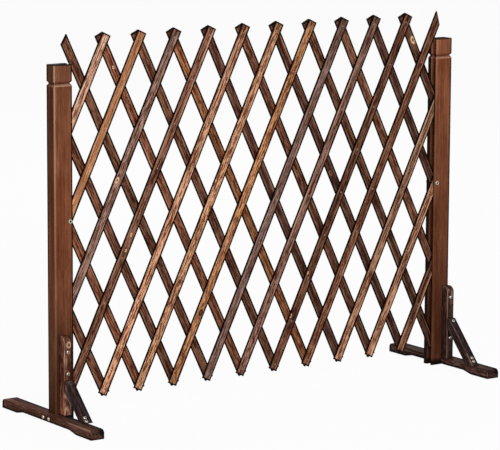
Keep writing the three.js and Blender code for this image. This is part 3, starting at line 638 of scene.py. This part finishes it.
def turned(profile, sides, centre, direction, dent=None):
    """A body turned from a profile of (radius, height) pairs about a direction: at each angle a point lies
    the radius times the angle's cosine and sine from the axis. dent says how far the height sinks at a place
    across and along the axis. Returns the rings and how far each point sank."""
    angle = np.arange(sides) / sides * 2 * math.pi
    radius, height = np.array(profile).T
    x = radius[:, None] * np.cos(angle)
    y = radius[:, None] * np.sin(angle)
    z = np.repeat(height[:, None], sides, 1)
    sunk = np.zeros_like(x) if dent is None else dent(x, y, z)
    z = z - sunk
    axis = np.array(direction, float) / np.linalg.norm(direction)
    aside = np.cross(axis, [0.0, 0.0, 1.0] if abs(axis[2]) < 0.9 else [1.0, 0.0, 0.0])
    aside /= np.linalg.norm(aside)
    other = np.cross(axis, aside)
    return centre + x[..., None] * aside + y[..., None] * other + z[..., None] * axis, sunk


class TRELLIS_OT_laths(bpy.types.Operator):
    """Fourteen front laths and fourteen back laths, each with its own stain, knots and cut ends."""
    bl_idname = "trellis.laths"
    bl_label = "Laths"

    def execute(self, context):
        sizes = context.scene.trellis_sizes
        for number in range(1, FRONT_COUNT + 1):
            lath(number, True, sizes)
            lath(number - BACK_OFFSET, False, sizes)
        return {"FINISHED"}


class TRELLIS_OT_rivets(bpy.types.Operator):
    """A rivet at each crossing: low dome in front, shank, clenched head behind. All on one front lath
    are a piece."""
    bl_idname = "trellis.rivets"
    bl_label = "Rivets"

    def execute(self, context):
        sizes = context.scene.trellis_sizes
        head, rise = sizes.rivet_head / 2, sizes.rivet_rise
        front = LATH_THICK + LAYER_PLAY / 2
        back = -front - LAYER_PLAY
        profile = [(0.3 * head, back - rise), (0.75 * head, back - 0.75 * rise), (head, back),
                   (0.5 * head, back), (0.5 * head, front - MM), (head, front - 0.2 * MM),
                   (head, front + 0.1 * MM), (0.75 * head, front + 0.7 * rise), (0.3 * head, front + rise)]
        for number in range(1, FRONT_COUNT + 1):
            column, reached = span_of(number, True)
            bodies, marks = [], []
            for level in reached:
                partner = number - level
                on_post = level == MID_LEVEL and column(level) in (0, COLUMNS)
                if on_post or not 1 - BACK_OFFSET <= partner <= FRONT_COUNT - BACK_OFFSET:
                    continue
                centre = np.array([(column(level) - COLUMNS / 2) * COLUMN_STEP, LATTICE_Y,
                                   PIVOT_Z + (MID_LEVEL - level) * LEVEL_STEP])
                rings = turned(profile, RIVET_SIDES, centre, (0, -1, 0))[0]
                bodies.append(rings)
                dirt_and_shade = np.zeros_like(rings)
                dirt_and_shade[..., 0] = np.array(RIVET_DIRT)[:, None]
                marks.append(dirt_and_shade.reshape(-1, 3))
            piece("rivets_%02d" % number, bodies, steel("rivet"), "front_%02d" % number,
                  ["front_slat_%02d" % number], marks=np.concatenate(marks))
        return {"FINISHED"}


def post_section(inner, outer, half, sizes):
    """The post's U section seen from above, and how much each point is on an edge. Each arris is a bevel of
    two facets with a point beside it, where its mark ends, and the lips of the slot are eased."""
    bevel, rim, ease = sizes.post_round, sizes.post_rim, 0.5 * MM
    knee = 0.3 * bevel
    slot_end = abs(RIGHT_PIVOT[0]) + sizes.slot_reach
    front, back = LATTICE_Y - sizes.slot_width / 2, LATTICE_Y + sizes.slot_width / 2
    points = np.array([
        (inner + bevel + rim, -half, 0), (outer - bevel - rim, -half, 0), (outer - bevel, -half, 1),
        (outer - knee, knee - half, 1), (outer, bevel - half, 1), (outer, bevel - half + 1.5 * MM, 0),
        (outer, half - bevel - 1.8 * rim, 0), (outer, half - bevel - 0.9 * rim, 0.5),
        (outer, half - bevel, 1), (outer - knee, half - knee, 1), (outer - bevel, half, 1),
        (outer - bevel - rim, half, 0), (inner + bevel + rim, half, 0), (inner + bevel, half, 1),
        (inner + knee, half - knee, 1), (inner, half - bevel, 1), (inner, back + ease, 0.6),
        (inner + ease, back, 0), (slot_end, back, 0), (slot_end, front, 0), (inner + ease, front, 0),
        (inner, front - ease, 0.6), (inner, bevel - half, 1), (inner + knee, knee - half, 1),
        (inner + bevel, -half, 1)])
    return points[:, :2], points[:, 2]


class TRELLIS_OT_posts(bpy.types.Operator):
    """Two slotted posts: a bevelled U section carried up the post, drawn in for the groove and the top
    bevel, and held back at the bottom where the foot is lapped in."""
    bl_idname = "trellis.posts"
    bl_label = "Posts"

    def execute(self, context):
        sizes = context.scene.trellis_sizes
        for side, sign in (("left", -1), ("right", 1)):
            low, high = corners(side + "_post")
            inner, outer = (low[0], high[0]) if sign > 0 else (-high[0], -low[0])
            half, bevel = (high[1] - low[1]) / 2, sizes.post_round
            section, edge = post_section(inner, outer, half, sizes)
            foot_low, foot_high = corners(side + "_foot")
            lap_x = min(abs(foot_low[0]), abs(foot_high[0])) - SEAT_GAP
            lap_z = foot_high[2] + SEAT_GAP
            groove, reach = high[2] - sizes.groove_drop, sizes.groove_height / 2
            top, cap = high[2], sizes.post_top
            plain = np.linspace(lap_z + 20 * MM, groove - reach - 10 * MM, 40)
            # Rings close to the groove's lips keep them crisp
            lips = np.array([-reach - 1.6 * MM, -reach - 0.3 * MM, -reach + 0.3 * MM, 0, reach - 0.3 * MM,
                             reach + 0.3 * MM])
            z = np.concatenate([[low[2], lap_z, lap_z], plain, groove + lips,
                                [top - cap - 6 * MM, top - cap - MM, top - cap, top - 0.35 * cap, top]])
            inset = sizes.groove_depth * np.clip(1 - np.abs(z - groove) / reach, 0, 1)
            inset[-2:] = [0.3 * cap, cap]
            lapped = np.zeros(len(z))
            lapped[:2] = 1
            x = np.clip(section[None, :, 0], inner + inset[:, None], outer - inset[:, None])
            x = np.where(lapped[:, None] > 0, np.minimum(x, lap_x), x)
            y = np.clip(section[None, :, 1], inset[:, None] - half, half - inset[:, None])
            rings = joined(sign * x, y, z[:, None])
            tip = np.zeros(len(z))
            tip[-4:] = [0.0, 0.5, 1, 1]
            tip[:2] = [1, 0.3]
            light = np.interp(z, POST_HEIGHTS, POST_LIGHT[side])
            # Painted shade darkens the groove
            light = light * np.where(np.abs(z - groove) < reach * 0.9, 0.55, 1.0)
            # The narrow face towards the camera, the outer one on the left and the inner one on the right,
            # gets its own painted light and shade, darkest at its ends, and the arris between it and the
            # front gets a painted highlight
            face, way = (outer, 1) if sign < 0 else (inner, -1)
            inwards = way * (face - section[:, 0])
            seen = inwards < 0.01 * MM
            wear_and_highlight = (np.abs(section[:, 1] + half) < 1.01 * bevel) & (inwards < 1.01 * bevel)
            beside = np.interp(z, SIDE_HEIGHTS, SIDE_LIGHT[side])
            arris_highlight = np.interp(z, HIGHLIGHT_HEIGHTS, POST_ARRIS_HIGHLIGHT[side])[:, None]
            light = np.where(seen[None, :], beside[:, None], light[:, None])
            edge = np.where(wear_and_highlight[None, :], -arris_highlight, edge)
            # Painted highlight on the groove's lower lip, most in front
            lip = np.abs(z - (groove - reach)) < 0.5 * MM
            edge[lip] = np.where(section[:, 1] < 10 * MM - half, -0.5, -0.2)
            # The stain is thinner on the cap
            edge = np.where((z > groove + reach)[:, None] & (edge == 0), -0.05, edge)
            board = (50 + sign) * BOARD_STAGGER
            lay = joined((x - inner) / MM, y / MM, z[:, None] / MM + board)
            marks = joined(edge, tip[:, None], light)
            piece(side + "_post_wood", [rings], wood("post"), side + "_stand", [side + "_post"],
                  lay.reshape(-1, 3), marks.reshape(-1, 3), crease=25)
        return {"FINISHED"}


def board_marks(edge, tip, light):
    """Marks of a board: edge and lightness by the ring, the point round the section or both, end
    by the ring."""
    light = light if light.ndim == 2 else light[:, None]
    return joined(edge, tip[:, None], light).reshape(-1, 3)


def oval(across, up, centre, wide, tall):
    """Distance from an oval ring in units of its half width: the length of (across / wide, up /
    tall), less one."""
    return np.hypot((across - centre[0]) / wide, (up - centre[1]) / tall) - 1


def spread(place, half, arris):
    """A coordinate of a unit section brought to a half size, with arrises of the given radius: the arris's
    centre plus the distance from it in arris shares, times the radius."""
    way = np.sign(place)
    return way * (half - arris) + (place - way * (1 - ARC_SHARE)) / ARC_SHARE * arris


class TRELLIS_OT_feet(bpy.types.Operator):
    """Two feet: a rounded section carried along the foot's depth. The top drops by a quarter circle at the
    noses and the bottom rises by straight ramps to an arch between the pads."""
    bl_idname = "trellis.feet"
    bl_label = "Feet"

    def execute(self, context):
        sizes = context.scene.trellis_sizes
        for side, board in (("left", 60), ("right", 63)):
            low, high = corners(side + "_foot")
            half = (high[1] - low[1]) / 2
            wide = (high[0] - low[0]) / 2
            curve = sizes.nose_round
            section, edge = rounded(1.0, 1.0, ARC_SHARE, 2 * ARC_SHARE)
            # The flame blackened the foot's lower near edge and its upper far one more widely
            section[4, 0], edge[4], edge[10] = 0.35, 0.7, 0.7
            section = np.insert(section, [5, 10], [[0.1, 1], [-1, -0.5]], axis=0)
            edge = np.insert(edge, [5, 10], 0)
            near = (section[:, 0] < 0) & (section[:, 1] > 0)
            swing = np.linspace(math.pi / 2, 0, 9)[1:]
            ends = half - curve + curve * np.sin(swing[::-1])
            body = np.linspace(-(half - curve), half - curve, 61)
            ramps = half - PAD_LENGTH - np.array([0, ARCH_RAMP])
            y = np.concatenate([-ends, body, ends, ramps, -ramps, [half - 0.3 * MM, 0.3 * MM - half]])
            y = np.unique(np.round(y, 6))
            # A second, smaller ring on each end face, so that its dark rim fades inwards
            y = np.concatenate([y[:1], y, y[-1:]])
            over = np.clip((np.abs(y) - (half - curve)) / curve, 0, 1)
            top = high[2] - curve * (1 - np.sqrt(1 - over ** 2))
            floor = ARCH_RISE * np.clip((half - PAD_LENGTH - np.abs(y)) / ARCH_RAMP, 0, 1)
            inset = np.where(np.abs(y) > half - 0.1 * MM, 0.4 * MM, 0)
            inset[[0, -1]] = 3 * MM
            middle, thick = (top + floor) / 2, (top - floor) / 2
            arris = sizes.board_round
            u = spread(section[:, 0], wide, arris)
            w = spread(section[None, :, 1], thick[:, None], arris)
            u = np.clip(u[None, :], inset[:, None] - wide, wide - inset[:, None])
            w = np.clip(w, (inset - thick)[:, None], (thick - inset)[:, None])
            x = (low[0] + high[0]) / 2 + u
            rings = joined(x, y[:, None], middle[:, None] + w)
            # End grain is dark, most at the rear
            tip = np.interp(y, [-half, 2 * MM - half, 4 * MM - half, half - 8 * MM, half - 5 * MM, half],
                            [0.35, 0.35, 0.0, 0.0, 0.8, 0.8])
            tip[[0, -1]] = 0
            light = np.interp(y, FOOT_DEPTHS, FOOT_LIGHT[side])
            light = light * np.where(y < 0.5 * MM - half, 0.6, 1.0)
            # Painted shade: the top face is darker in front of the post, and the other faces are a tenth
            # lighter
            painted_shade = np.where(section[None, :, 1] > 0.97, np.interp(y, [-0.1, 0], [0.65, 1.0])[:, None], 1.1)
            # Painted highlight along the near top arris, towards the front end
            wear_and_highlight = np.interp(y, FOOT_HIGHLIGHT_DEPTHS, FOOT_ARRIS_HIGHLIGHT[side])
            edge = np.where(near[None, :], -wear_and_highlight[:, None] * edge, edge)
            nose = ((y < 0.5 * MM - half) & (inset < MM))[:, None]
            edge = np.where(nose & ((section[:, 0] > 0.9) | (section[:, 1] < -0.9)), 1.0, edge)
            # Painted highlight on the near upright edge of the right foot's nose
            if side == "right":
                edge = np.where(nose & (section[:, 0] < -0.9), -0.5, edge)
            light = light[:, None] * painted_shade
            lay = joined(u / MM, (middle[:, None] + w) / MM, y[:, None] / MM + board * BOARD_STAGGER)
            piece(side + "_foot_wood", [rings], wood("foot" if side == "left" else "dusk"), side + "_stand",
                  [side + "_foot"], lay.reshape(-1, 3), board_marks(edge, tip, light), crease=30)
        return {"FINISHED"}


def highlight_and_grain_of_cleat(side, section, edge, z):
    """Edge marks of a cleat, below zero where it is pale: a painted highlight on its arris towards the
    camera, on the left one arches of grain at the bottom, a streak above them and a ring round the knot, and
    on the right one three flecks. Arches, streak, ring and flecks fade as the bell curve of the distance from
    them. Lengths are in millimetres."""
    u, v = section[None, :, 0], section[None, :, 1]
    front = v < section[:, 1].min() + 0.5
    near = (u < 0) & (v < 0) & (edge[None, :] > 0)
    z = z[:, None]
    arris = np.interp(z, *CLEAT_ARRIS_HIGHLIGHT[side])
    if side == "left":
        lines = [(oval(u, z, (-9, 22), 17, 40), 0.11), (oval(u, z, (-3.5, 19), 6.5, 17), 0.22),
                 (oval(u, z, (2, 168), 4.5, 5), 0.28)]
        pale = sum(1.2 * np.exp(-(away / width) ** 2) for away, width in lines)
        pale = pale + 0.5 * np.exp(-((u + 4) / 1.8) ** 2 - ((z - 136) / 12) ** 2)
    else:
        flecks = ((3, 172), (4, 165), (-4, 178))
        pale = sum(0.6 * np.exp(-((u - a) / 1.6) ** 2 - ((z - b) / 3.5) ** 2) for a, b in flecks)
    edge = np.where(near, -arris, edge[None, :])
    return np.where(front & (edge <= 0), np.minimum(edge, -np.clip(pale, 0, 1)), edge)


class TRELLIS_OT_cleats(bpy.types.Operator):
    """Two cleats: a rounded section carried upwards, whose front face falls back by a quarter circle
    at the top."""
    bl_idname = "trellis.cleats"
    bl_label = "Cleats"

    def execute(self, context):
        sizes = context.scene.trellis_sizes
        for side, board in (("left", 66), ("right", 69)):
            low, high = corners(side + "_cleat")
            wide, curve = (high[0] - low[0]) / 2, sizes.cleat_round
            section, edge = rounded(wide, (high[1] - low[1]) / 2, sizes.board_round, sizes.board_rim,
                                    across=11)
            swing = np.linspace(0, math.pi / 2, 12)
            plain = np.linspace(low[2] + 2 * MM, high[2] - curve - 2 * MM, 90)
            z = np.concatenate([[low[2], low[2] + 0.4 * MM], plain, high[2] - curve + curve * np.sin(swing)])
            over = np.clip(z - (high[2] - curve), 0, curve) / curve
            back = curve * (1 - np.sqrt(np.clip(1 - over ** 2, 0, 1)))
            inset = np.zeros(len(z))
            inset[0], inset[-1] = 0.4 * MM, 0.6 * MM
            y = np.maximum(section[None, :, 1] + (low[1] + high[1]) / 2, (low[1] + back + inset)[:, None])
            y = np.minimum(y, high[1] - inset[:, None])
            u = np.clip(section[None, :, 0], inset[:, None] - wide, wide - inset[:, None])
            rings = joined((low[0] + high[0]) / 2 + u, y, z[:, None])
            tip = np.zeros(len(z))
            tip[[0, 1]] = 0.6
            # Painted light: the side towards the camera is lighter than the front
            light = np.interp(z, CLEAT_HEIGHTS, CLEAT_LIGHT[side])[:, None]
            light = light * np.where(section[:, 0] < 0.01 * MM - wide, 1.8, 1.0)
            edge = highlight_and_grain_of_cleat(side, section / MM, edge, z / MM)
            lay = joined(u / MM, (y - low[1]) / MM, z[:, None] / MM + board * BOARD_STAGGER)
            across, height, radius = CLEAT_KNOTS[side]
            knots = ((across, height + board * BOARD_STAGGER, radius), NO_KNOT)
            piece(side + "_cleat_wood", [rings], wood("cleat" if side == "left" else "dusk"), side + "_stand",
                  [side + "_cleat"], lay.reshape(-1, 3), board_marks(edge, tip, light), knots, crease=30)
        return {"FINISHED"}


def brace_pitch(side, cut):
    """Slope of a brace: the angle whose tangent is its height, with the cut-off point, over its depth."""
    low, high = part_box(side + "_brace")
    return math.atan2(high[2] + cut - low[2], high[1] - low[1])


class TRELLIS_OT_braces(bpy.types.Operator):
    """Two braces: a rounded section carried down the slope between its upper and its lower edge line, so
    that one end is plumb against the cleat and the other level on the foot. The upper line is held down to
    the level cut."""
    bl_idname = "trellis.braces"
    bl_label = "Braces"

    def execute(self, context):
        sizes = context.scene.trellis_sizes
        thick, cut = sizes.brace_thick, sizes.brace_cut
        for side, board in (("left", 72), ("right", 75)):
            low, high = corners(side + "_brace")
            wide = (high[0] - low[0]) / 2
            section, edge = rounded(wide, thick / 2, sizes.board_round, sizes.board_rim)
            pitch = brace_pitch(side, cut)
            point = high[2] + cut
            fall = point - low[2]
            under = point - thick / math.cos(pitch)
            upper = np.array([[high[1], point], [low[1], low[2]]])
            lower = np.array([[high[1], under], [high[1] - (under - low[2]) / math.tan(pitch), low[2]]])
            beside = cut / fall + np.array([-0.01, 0.0, 0.01])
            share = np.concatenate([[0, 0.004, 0.98, 0.996, 1], beside, np.linspace(0.15, 0.95, 22)])
            share = np.unique(share)
            rise = section[:, 1] / thick + 0.5
            # Both ends are eased by a share of the section
            inset = np.zeros(len(share))
            inset[[0, -1]] = 0.03
            rise = np.clip(rise[None, :], inset[:, None], 1 - inset[:, None])
            top = np.minimum(upper[0] + share[:, None, None] * (upper[1] - upper[0]), [1.0, high[2]])
            bottom = lower[0] + share[:, None, None] * (lower[1] - lower[0])
            yz = bottom + rise[..., None] * (top - bottom)
            ease = inset[:, None] * 18 * MM
            u = np.clip(section[None, :, 0], ease - wide, wide - ease)
            x = (low[0] + high[0]) / 2 + u
            rings = joined(x, yz[..., 0], yz[..., 1])
            tip = np.zeros(len(share))
            tip[[0, 1, -2, -1]] = 0.7
            light = np.interp(share, BRACE_SHARES, BRACE_LIGHT[side])[:, None]
            # Painted shade darkens the far half of the upper face, and painted light makes the lower half of
            # the section lighter
            light = light * np.where(section[:, 1] < 0, 1.3, np.where(section[:, 0] > 0, 0.4, 1.0))
            # Painted highlight in dashes along the near upper arris
            wear_and_highlight = np.interp(share, HIGHLIGHT_SHARES, BRACE_ARRIS_HIGHLIGHT[side])[:, None]
            wear_and_highlight = wear_and_highlight * (0.7 + 0.3 * np.sin(50 * share[:, None]))
            near = (section[:, 0] < 0) & (section[:, 1] > 0)
            edge = np.where(near, -wear_and_highlight * edge, np.where(section[:, 0] < 0, 0.3, 1.0) * edge)
            down = share[:, None] * fall / math.sin(pitch) / MM + board * BOARD_STAGGER
            lay = joined(u / MM, rise * thick / MM, down)
            piece(side + "_brace_wood", [rings], wood("brace"), side + "_stand", [side + "_brace"],
                  lay.reshape(-1, 3), board_marks(edge, tip, light), crease=30)
        return {"FINISHED"}


def cross_recess(radius, depth):
    """How deep a cross-head recess is at (x, y), on the head only. In shares of the radius, an arm is full
    to 0.16 beside its middle and 0.56 along, and eases out to nothing at 0.24 and 0.68."""
    def dent(x, y, z):
        near = np.minimum(np.abs(x), np.abs(y)) / radius
        far = np.maximum(np.abs(x), np.abs(y)) / radius
        inside = np.clip((0.24 - near) / 0.08, 0, 1) * np.clip((0.68 - far) / 0.12, 0, 1)
        return depth * inside * (z > 0)
    return dent


def pan_head(radius, rise, rings=11):
    """Profile of a pan head from its rim to near its middle: the height is the rise times the 0.4th power of
    one minus the cube of the radius's share."""
    share = np.linspace(1, 0.02, rings)
    return [(radius * s, rise * (1 - s ** 3) ** 0.4) for s in share]


def seat_of(node, direction):
    """Where a screw's head meets the wood, and how long its shank is. The shank is the node's length along
    the direction less the seat gap and the rise of the CAD's head, and the seat lies that far ahead of the
    screw's tip, the mean of the node's rearmost points."""
    points = np.array([vertex.co for vertex in frame["nodes"][node].data.vertices])
    reach = points @ direction
    tip = points[reach < reach.min() + 0.05 * MM].mean(0)
    long = reach.max() - reach.min() - SEAT_GAP - CAD_HEAD_RISE
    return tip + long * direction, long


class TRELLIS_OT_screws(bpy.types.Operator):
    """The wood screws of feet, cleats and braces: a cross-recessed pan head turned about the screw,
    with its shank."""
    bl_idname = "trellis.screws"
    bl_label = "Screws"

    def execute(self, context):
        sizes = context.scene.trellis_sizes
        radius = sizes.head_width / 2
        for side, sign in (("left", -1), ("right", 1)):
            pitch = brace_pitch(side, sizes.brace_cut)
            slope = (0, -math.sin(pitch), math.cos(pitch))
            ways = {"cleat_screw_1": (0, -1, 0), "cleat_screw_2": (0, -1, 0), "brace_screw_1": slope,
                    "brace_screw_2": slope, "brace_screw_3": slope, "foot_screw_1": (sign, 0, 0),
                    "foot_screw_2": (sign, 0, 0)}
            for label, way in ways.items():
                node = side + "_" + label
                direction = np.array(way, float)
                seat, long = seat_of(node, direction)
                profile = [(0.3 * MM, -long), (SCREW_SHANK, 4 * MM - long), (SCREW_SHANK, 0),
                           (radius * 0.96, 0)]
                profile += pan_head(radius, sizes.head_rise)
                rings, sunk = turned(profile, sizes.round_steps, seat, direction,
                                     cross_recess(radius, 0.75 * sizes.head_rise))
                # Painted shade in the cross recess, darker the deeper it sinks; a screw that the stain covers
                # is dark all over
                dirt_and_shade = np.zeros_like(rings)
                least = 0.9 if node in STAINED_SCREWS else 0
                dirt_and_shade[..., 0] = np.clip(sunk / (0.5 * sizes.head_rise), least, 0.9)
                piece(node + "_steel", [rings], steel("zinc"), side + "_stand", [node],
                      marks=dirt_and_shade.reshape(-1, 3), crease=40)
        return {"FINISHED"}


class TRELLIS_OT_pivots(bpy.types.Operator):
    """The two pivot bolts, with a round head that has a hollow in its middle, and a hexagon nut behind
    each post. The nut's radius at an angle is half its width over the cosine of the angle to the
    nearest flat's middle."""
    bl_idname = "trellis.pivots"
    bl_label = "Pivot bolts and nuts"

    def execute(self, context):
        sizes = context.scene.trellis_sizes
        head, rise = sizes.bolt_width / 2, sizes.bolt_rise
        for side, pivot in (("left", LEFT_PIVOT), ("right", RIGHT_PIVOT)):
            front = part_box(side + "_post")[0][1]
            seat = np.array([pivot[0], front, pivot[2]])
            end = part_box(side + "_pivot_bolt")[1][1] - front
            profile = [(BOLT_SHANK * 0.8, -end), (BOLT_SHANK, 0.5 * MM - end), (BOLT_SHANK, 0),
                       (head * 0.97, 0), (head, 0.2 * MM), (head, 0.5 * rise), (0.93 * head, 0.8 * rise),
                       (0.8 * head, rise), (0.62 * head, rise), (0.5 * head, 0.8 * rise),
                       (0.46 * head, 0.25 * rise), (0.1 * head, 0.2 * rise)]
            rings = turned(profile, BOLT_SIDES, seat, (0, -1, 0))[0]
            # Painted shade in the hollow of the head
            dirt_and_shade = np.zeros_like(rings)
            dirt_and_shade[-len(BOLT_HOLLOW_SHADE):, :, 0] = np.array(BOLT_HOLLOW_SHADE)[:, None]
            piece(side + "_pivot_bolt_steel", [rings], steel("zinc"), side + "_stand", [side + "_pivot_bolt"],
                  marks=dirt_and_shade.reshape(-1, 3), crease=40)
            nut_low, nut_high = corners(side + "_pivot_nut")
            thick = nut_high[1] - nut_low[1]
            angle = np.arange(NUT_STEPS) / NUT_STEPS * 2 * math.pi
            fold = (angle + math.pi / 6) % (math.pi / 3) - math.pi / 6
            hexagon = NUT_HALF / np.cos(fold)
            ease = 0.35 * MM
            rows = [(0.5, 0), (1.08, 0), (1.2, ease), (1.2, thick - ease), (1.08, thick), (0.5, thick)]
            radius = np.stack([np.minimum(hexagon, wide * NUT_HALF) for wide, _ in rows])
            depth = np.array([height for _, height in rows])[:, None]
            x, z = radius * np.cos(angle), radius * np.sin(angle)
            rings = joined(pivot[0] + x, nut_low[1] + depth, pivot[2] + z)
            piece(side + "_pivot_nut_steel", [rings], steel("zinc"), side + "_stand", [side + "_pivot_nut"],
                  marks=np.zeros((rings.shape[0] * rings.shape[1], 3)), crease=30)
        return {"FINISHED"}


def bearing(azimuth, elevation):
    """The direction out from the trellis at an azimuth, which is 0 in front, at -Y, and grows to the right,
    and an elevation, in radians: sine and minus cosine of the azimuth times the cosine of the elevation,
    then the sine of the elevation."""
    flat = math.cos(elevation)
    return Vector((math.sin(azimuth) * flat, -math.cos(azimuth) * flat, math.sin(elevation)))


def lamp(name, azimuth, elevation, far, size, watts):
    """A square soft box that stands its distance from the aim, at its azimuth and elevation, and
    faces the aim."""
    data = bpy.data.lights.new(name, "AREA")
    data.shape, data.size, data.energy = "SQUARE", size, watts
    made = bpy.data.objects.new(name, data)
    away = bearing(math.radians(azimuth), math.radians(elevation))
    made.location = Vector(LAMP_AIM) + away * far
    made.rotation_euler = away.to_track_quat("Z", "Y").to_euler()
    bpy.context.scene.collection.objects.link(made)


def for_the_eye(tree):
    """The (node, output) that is one for rays from the camera, off gloss or through glass, and
    zero for others."""
    path = add(tree, "ShaderNodeLightPath")
    seen = add(tree, "ShaderNodeMath", {0: (path, 0), 1: (path, 3)}, operation="MAXIMUM")
    return add(tree, "ShaderNodeMath", {0: (seen, 0), 1: (path, 6)}, operation="MAXIMUM"), 0


def pale_floor(colour):
    """Pale matt floor: for the camera, and for gloss and glass, mostly its own white, with the object's
    shadow in the rest."""
    material = bpy.data.materials.new("pale matt floor")
    material.use_nodes = True
    tree = material.node_tree
    tree.nodes.clear()
    part = add(tree, "ShaderNodeMath", {0: for_the_eye(tree), 1: 0.95}, operation="MULTIPLY")
    matt = add(tree, "ShaderNodeBsdfDiffuse", {0: (*colour, 1)})
    glow = add(tree, "ShaderNodeEmission", {0: (1, 1, 1, 1), 1: 1.0})
    mixed = add(tree, "ShaderNodeMixShader", {0: (part, 0), 1: (matt, 0), 2: (glow, 0)})
    add(tree, "ShaderNodeOutputMaterial", {0: (mixed, 0)})
    return material


class TRELLIS_OT_stage(bpy.types.Operator):
    """Pale floor, soft light from the front, weaker light from the right and from behind, and the camera at
    the photo's angle."""
    bl_idname = "trellis.stage"
    bl_label = "Stage"

    def execute(self, context):
        scene = context.scene
        angle = np.arange(FLOOR_SIDES) / FLOOR_SIDES * 2 * math.pi
        mesh = bpy.data.meshes.new("floor")
        disc = joined(FLOOR_RADIUS * np.cos(angle), FLOOR_RADIUS * np.sin(angle), 0)
        mesh.from_pydata(disc.tolist(), [], [list(range(FLOOR_SIDES))])
        mesh.materials.append(pale_floor(list(scene.trellis_tones.floor)))
        floor = bpy.data.objects.new("floor", mesh)
        scene.collection.objects.link(floor)
        for name, settings in LAMPS.items():
            lamp(name, *settings)
        world = bpy.data.worlds.new("room")
        world.use_nodes = True
        tree = world.node_tree
        tree.nodes.clear()
        # The room is white to the eye and a fifth as bright where it lights the trellis
        strength = add(tree, "ShaderNodeMath", {0: for_the_eye(tree), 1: 0.8, 2: 0.2},
                       operation="MULTIPLY_ADD")
        sky = add(tree, "ShaderNodeBackground", {0: (1, 1, 1, 1), 1: (strength, 0)})
        add(tree, "ShaderNodeOutputWorld", {0: (sky, 0)})
        scene.world = world
        scene.view_settings.view_transform = "Standard"
        camera()
        return {"FINISHED"}


def camera():
    """The camera at the photo's viewing angle, turned about its own axis by the roll."""
    azimuth, elevation, roll = (math.radians(v) for v in CAMERA_ANGLES)
    back = bearing(azimuth, elevation)
    level = Vector((math.cos(azimuth), math.sin(azimuth), 0))
    up = back.cross(level)
    right = math.cos(roll) * level + math.sin(roll) * up
    above = -math.sin(roll) * level + math.cos(roll) * up
    turn = Matrix((right, above, back)).transposed().to_4x4()
    data = bpy.data.cameras.new("camera")
    data.lens, data.sensor_width, data.sensor_fit = CAMERA_LENS, CAMERA_SENSOR, "HORIZONTAL"
    data.clip_end = 100
    made = bpy.data.objects.new("camera", data)
    made.matrix_world = Matrix.Translation(Vector(CAMERA_AIM) + back * CAMERA_AWAY) @ turn
    bpy.context.scene.collection.objects.link(made)
    bpy.context.scene.camera = made


OPERATORS = (TRELLIS_OT_laths, TRELLIS_OT_rivets, TRELLIS_OT_posts, TRELLIS_OT_feet, TRELLIS_OT_cleats,
             TRELLIS_OT_braces, TRELLIS_OT_screws, TRELLIS_OT_pivots, TRELLIS_OT_stage)


class TRELLIS_PT_pieces(bpy.types.Panel):
    """Lists the trellis's pieces, sizes and tones."""
    bl_idname = "TRELLIS_PT_pieces"
    bl_label = "Trellis"
    bl_space_type = "VIEW_3D"
    bl_region_type = "UI"
    bl_category = "Trellis"

    def draw(self, context):
        for operator in OPERATORS:
            self.layout.operator(operator.bl_idname)
        for group in (context.scene.trellis_sizes, context.scene.trellis_tones):
            box = self.layout.box()
            for name in group.__annotations__:
                box.prop(group, name)


CLASSES = (TrellisSizes, TrellisTones, *OPERATORS, TRELLIS_PT_pieces)


def register():
    """Makes the classes and both groups of settings known to Blender."""
    for made in CLASSES:
        bpy.utils.register_class(made)
    bpy.types.Scene.trellis_sizes = PointerProperty(type=TrellisSizes)
    bpy.types.Scene.trellis_tones = PointerProperty(type=TrellisTones)


def unregister():
    """Takes them out again, in reverse order."""
    del bpy.types.Scene.trellis_sizes
    del bpy.types.Scene.trellis_tones
    for made in reversed(CLASSES):
        bpy.utils.unregister_class(made)


def main():
    register()
    for operator in OPERATORS:
        group, name = operator.bl_idname.split(".")
        getattr(getattr(bpy.ops, group), name)()


if __name__ == "__main__":
    main()
